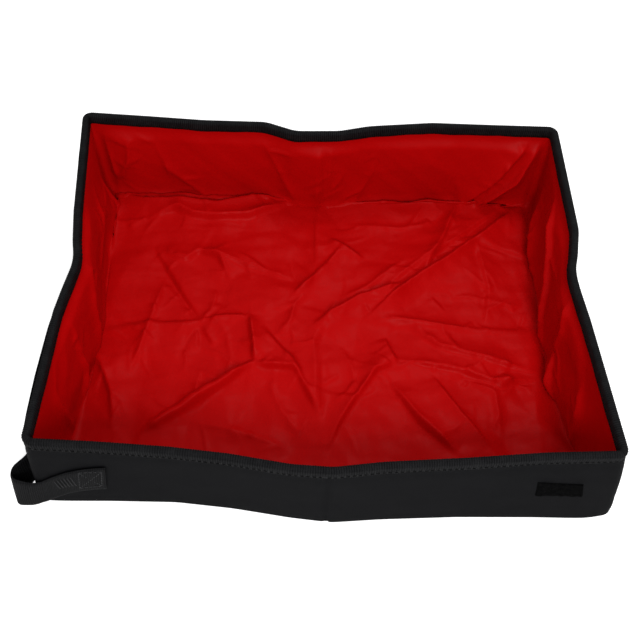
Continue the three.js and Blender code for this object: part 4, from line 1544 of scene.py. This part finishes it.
def makeStrapStitches(line, rings):
    face = rings[:int(np.argmax(line[:, 0] < strap["sewnReach"] / 1000))].reshape(-1, 3)

    def onStrap(x, z):
        # the strap's outer face in front of a place on the wall
        away = np.hypot(face[:, 0] - x / 1000, face[:, 2] - z / 1000)
        return np.array((x / 1000, face[np.argsort(away)[:strap["nearest"]], 1].min(), z / 1000))

    box = [onStrap(*p) for p in strap["boxStitch"]]
    dashes = dashed(box + box[:1]) + dashed([box[0], box[2]]) + dashed([box[1], box[3]])
    lowLine = np.array(strap["sewn"])[::-1]
    for k in range(strap["tacks"]):
        x = strap["tackFrom"] + (strap["tackTo"] - strap["tackFrom"]) * k / (strap["tacks"] - 1)
        base = float(np.interp(x - strap["sewnLean"][0], lowLine[:, 0], lowLine[:, 1]))
        low = onStrap(x + strap["tackLean"], base + strap["tackLow"])
        dashes.append((onStrap(x, base + strap["tackHigh"]), low))
    outward = np.array([0.0, -1.0, 0.0])
    stitches = threadPiece("strapStitches", [(*ends3d, outward) for ends3d in dashes], strap["threadRadius"])
    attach(stitches, "front_left_wall")


makeStrap()

# Hook tape on the strap's closing end and the loop patch on the front wall
hook = {"low": (-62.0, 3.0), "length": 0.040, "width": 0.032, "thickness": 0.0012, "columns": 20, "rows": 16,
        "bristle": 0.00025, "standOff": 0.0002, "strapRows": 4}
patch = {"corners": [(535.0, 495.0), (582.5, 496.5), (584.0, 487.0), (538.0, 484.0)], "wallOut": 0.004,
         "thickness": 0.0009, "lift": 0.0006, "columns": 40, "rows": 30, "seed": 3, "fuzz": 0.00022,
         "rumple": 0.0003, "rumpleWaves": (17, 5, 9, 11), "rumpleSwing": 2, "edge": 0.01, "edgeShare": 0.8,
         "fill": 0.8}


def rumple(u, v):
    # gentle waves over the patch that bend each other
    a, b, c, d = patch["rumpleWaves"]
    first = np.sin(u * a + patch["rumpleSwing"] * np.sin(v * b))
    return patch["rumple"] * first * np.sin(v * c + np.sin(u * d))


def makePatch():
    draw = np.random.default_rng(patch["seed"])
    spots = [throughPixel(x, y, 1, -tray["halfDepth"] - patch["wallOut"]) for x, y in patch["corners"]]
    u, v = np.meshgrid(np.linspace(0, 1, patch["columns"] + 1), np.linspace(0, 1, patch["rows"] + 1))
    a, b, c, d = spots
    x, z = ((a[k] * (1 - u) + b[k] * u) * (1 - v) + (d[k] * (1 - u) + c[k] * u) * v for k in (0, 2))
    face = frontFace(x, z) - patch["lift"]
    inside = (np.minimum(u, 1 - u) > patch["edge"]) & (np.minimum(v, 1 - v) > patch["edge"])
    fuzz = np.where(inside, draw.uniform(-1, 1, u.shape) * patch["fuzz"] + rumple(u, v),
                    -patch["thickness"] * patch["edgeShare"])
    outer = np.stack([x, face - patch["thickness"] - fuzz, z], -1)
    piece = slabPiece("loopPatch", outer, np.stack([x, face, z], -1), cloths["loop"], True)
    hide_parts("loop_patch")
    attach(piece, "front_right_wall")


def makeHookTape():
    # on the inside of the strap's straight end, so it rises with the strap's lower edge
    straight = np.array(strap["loose"])[-hook["strapRows"]:] / 1000
    inner = straight[0, 0] + strap["thickness"] / 2 + hook["standOff"]
    u, v = np.meshgrid(*(np.linspace(0, 1, hook[k] * 2 + 1) for k in ("columns", "rows")))
    y = hook["low"][0] / 1000 + hook["length"] * u
    z = np.interp(y, straight[:, 1], straight[:, 2]) + hook["low"][1] / 1000 + hook["width"] * v
    columns, rows = (np.sin(w * math.pi * hook[name]) for w, name in ((u, "columns"), (v, "rows")))
    bumps = np.abs(columns * rows) * hook["bristle"]
    under = np.stack([np.full_like(y, inner), y, z], -1)
    outer = np.stack([np.full_like(y, inner) + hook["thickness"] + bumps, y, z], -1)
    piece = slabPiece("hookTape", outer, under, cloths["loop"], True)
    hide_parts("hook_tape")
    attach(piece, "strap_end")


makePatch()
makeHookTape()
print("strap and patch made")

# Floor, light and world

stage = {"floorSize": 6.0, "floorDrop": 0.0004, "floorColour": (0.9, 0.9, 0.9, 1), "floorGlow": 0.55,
         "ambient": 0.66, "keyEnergy": 3.2, "keySize": 0.20, "keyPlace": (0.30, 0.45, 1.2),
         "fillEnergy": 8.2, "fillSize": 0.4, "fillPlace": (0.12, -0.85, 0.9)}


def makeStage():
    scene = bpy.context.scene
    scene.view_settings.view_transform = "Standard"
    half = stage["floorSize"] / 2
    corners = [(x * half, y * half, -stage["floorDrop"]) for x, y in ((-1, -1), (1, -1), (1, 1), (-1, 1))]
    newMesh("floor", corners, [[0, 1, 2, 3]], [floorMaterial()])
    world = bpy.data.worlds.new("studio")
    scene.world = world
    world.use_nodes = True
    tree = world.node_tree
    tree.nodes.clear()
    output = tree.nodes.new("ShaderNodeOutputWorld")
    background = tree.nodes.new("ShaderNodeBackground")
    path = tree.nodes.new("ShaderNodeLightPath")
    seen = sums(tree, "ADD", path.outputs["Is Camera Ray"], path.outputs["Is Glossy Ray"])
    seen = sums(tree, "ADD", seen, path.outputs["Is Transmission Ray"], clamp=True)
    strength = sums(tree, "ADD", sums(tree, "MULTIPLY", seen, 1 - stage["ambient"]), stage["ambient"])
    background.inputs["Color"].default_value = (1, 1, 1, 1)
    wire(tree, strength, background.inputs["Strength"])
    wire(tree, background.outputs[0], output.inputs[0])
    for name in ("key", "fill"):
        data = bpy.data.lights.new(name, "AREA")
        data.energy = stage[name + "Energy"]
        data.size = stage[name + "Size"]
        lamp = bpy.data.objects.new(name, data)
        lamp.location = stage[name + "Place"]
        lamp.rotation_euler = (-Vector(stage[name + "Place"])).to_track_quat("-Z", "Y").to_euler()
        scene.collection.objects.link(lamp)


def floorMaterial():
    # matt and pale, and lit up a little where the camera sees it
    tree, shader, material = shaded("floor")
    shader.inputs["Base Color"].default_value = stage["floorColour"]
    shader.inputs["Roughness"].default_value = 1.0
    shader.inputs["Specular IOR Level"].default_value = 0.0
    shader.inputs["Emission Color"].default_value = (1, 1, 1, 1)
    path = tree.nodes.new("ShaderNodeLightPath")
    glow = sums(tree, "MULTIPLY", path.outputs["Is Camera Ray"], stage["floorGlow"])
    wire(tree, glow, shader.inputs["Emission Strength"])
    return material


makeStage()

# CAD boards of the base keep their shape and take the board finish
for name, node in frame["nodes"].items():
    if not node.hide_render:
        node.data.materials.clear()
        kind = "board" if name.endswith("board") else "webbing"
        node.data.materials.append(cloths[kind])
        if not node.data.uv_layers.get("pattern"):
            layer = node.data.uv_layers.new(name="pattern")
            places = [node.data.vertices[loop.vertex_index].co for loop in node.data.loops]
            layer.data.foreach_set("uv", np.array([(p.x, p.y + p.z) for p in places], float).ravel())
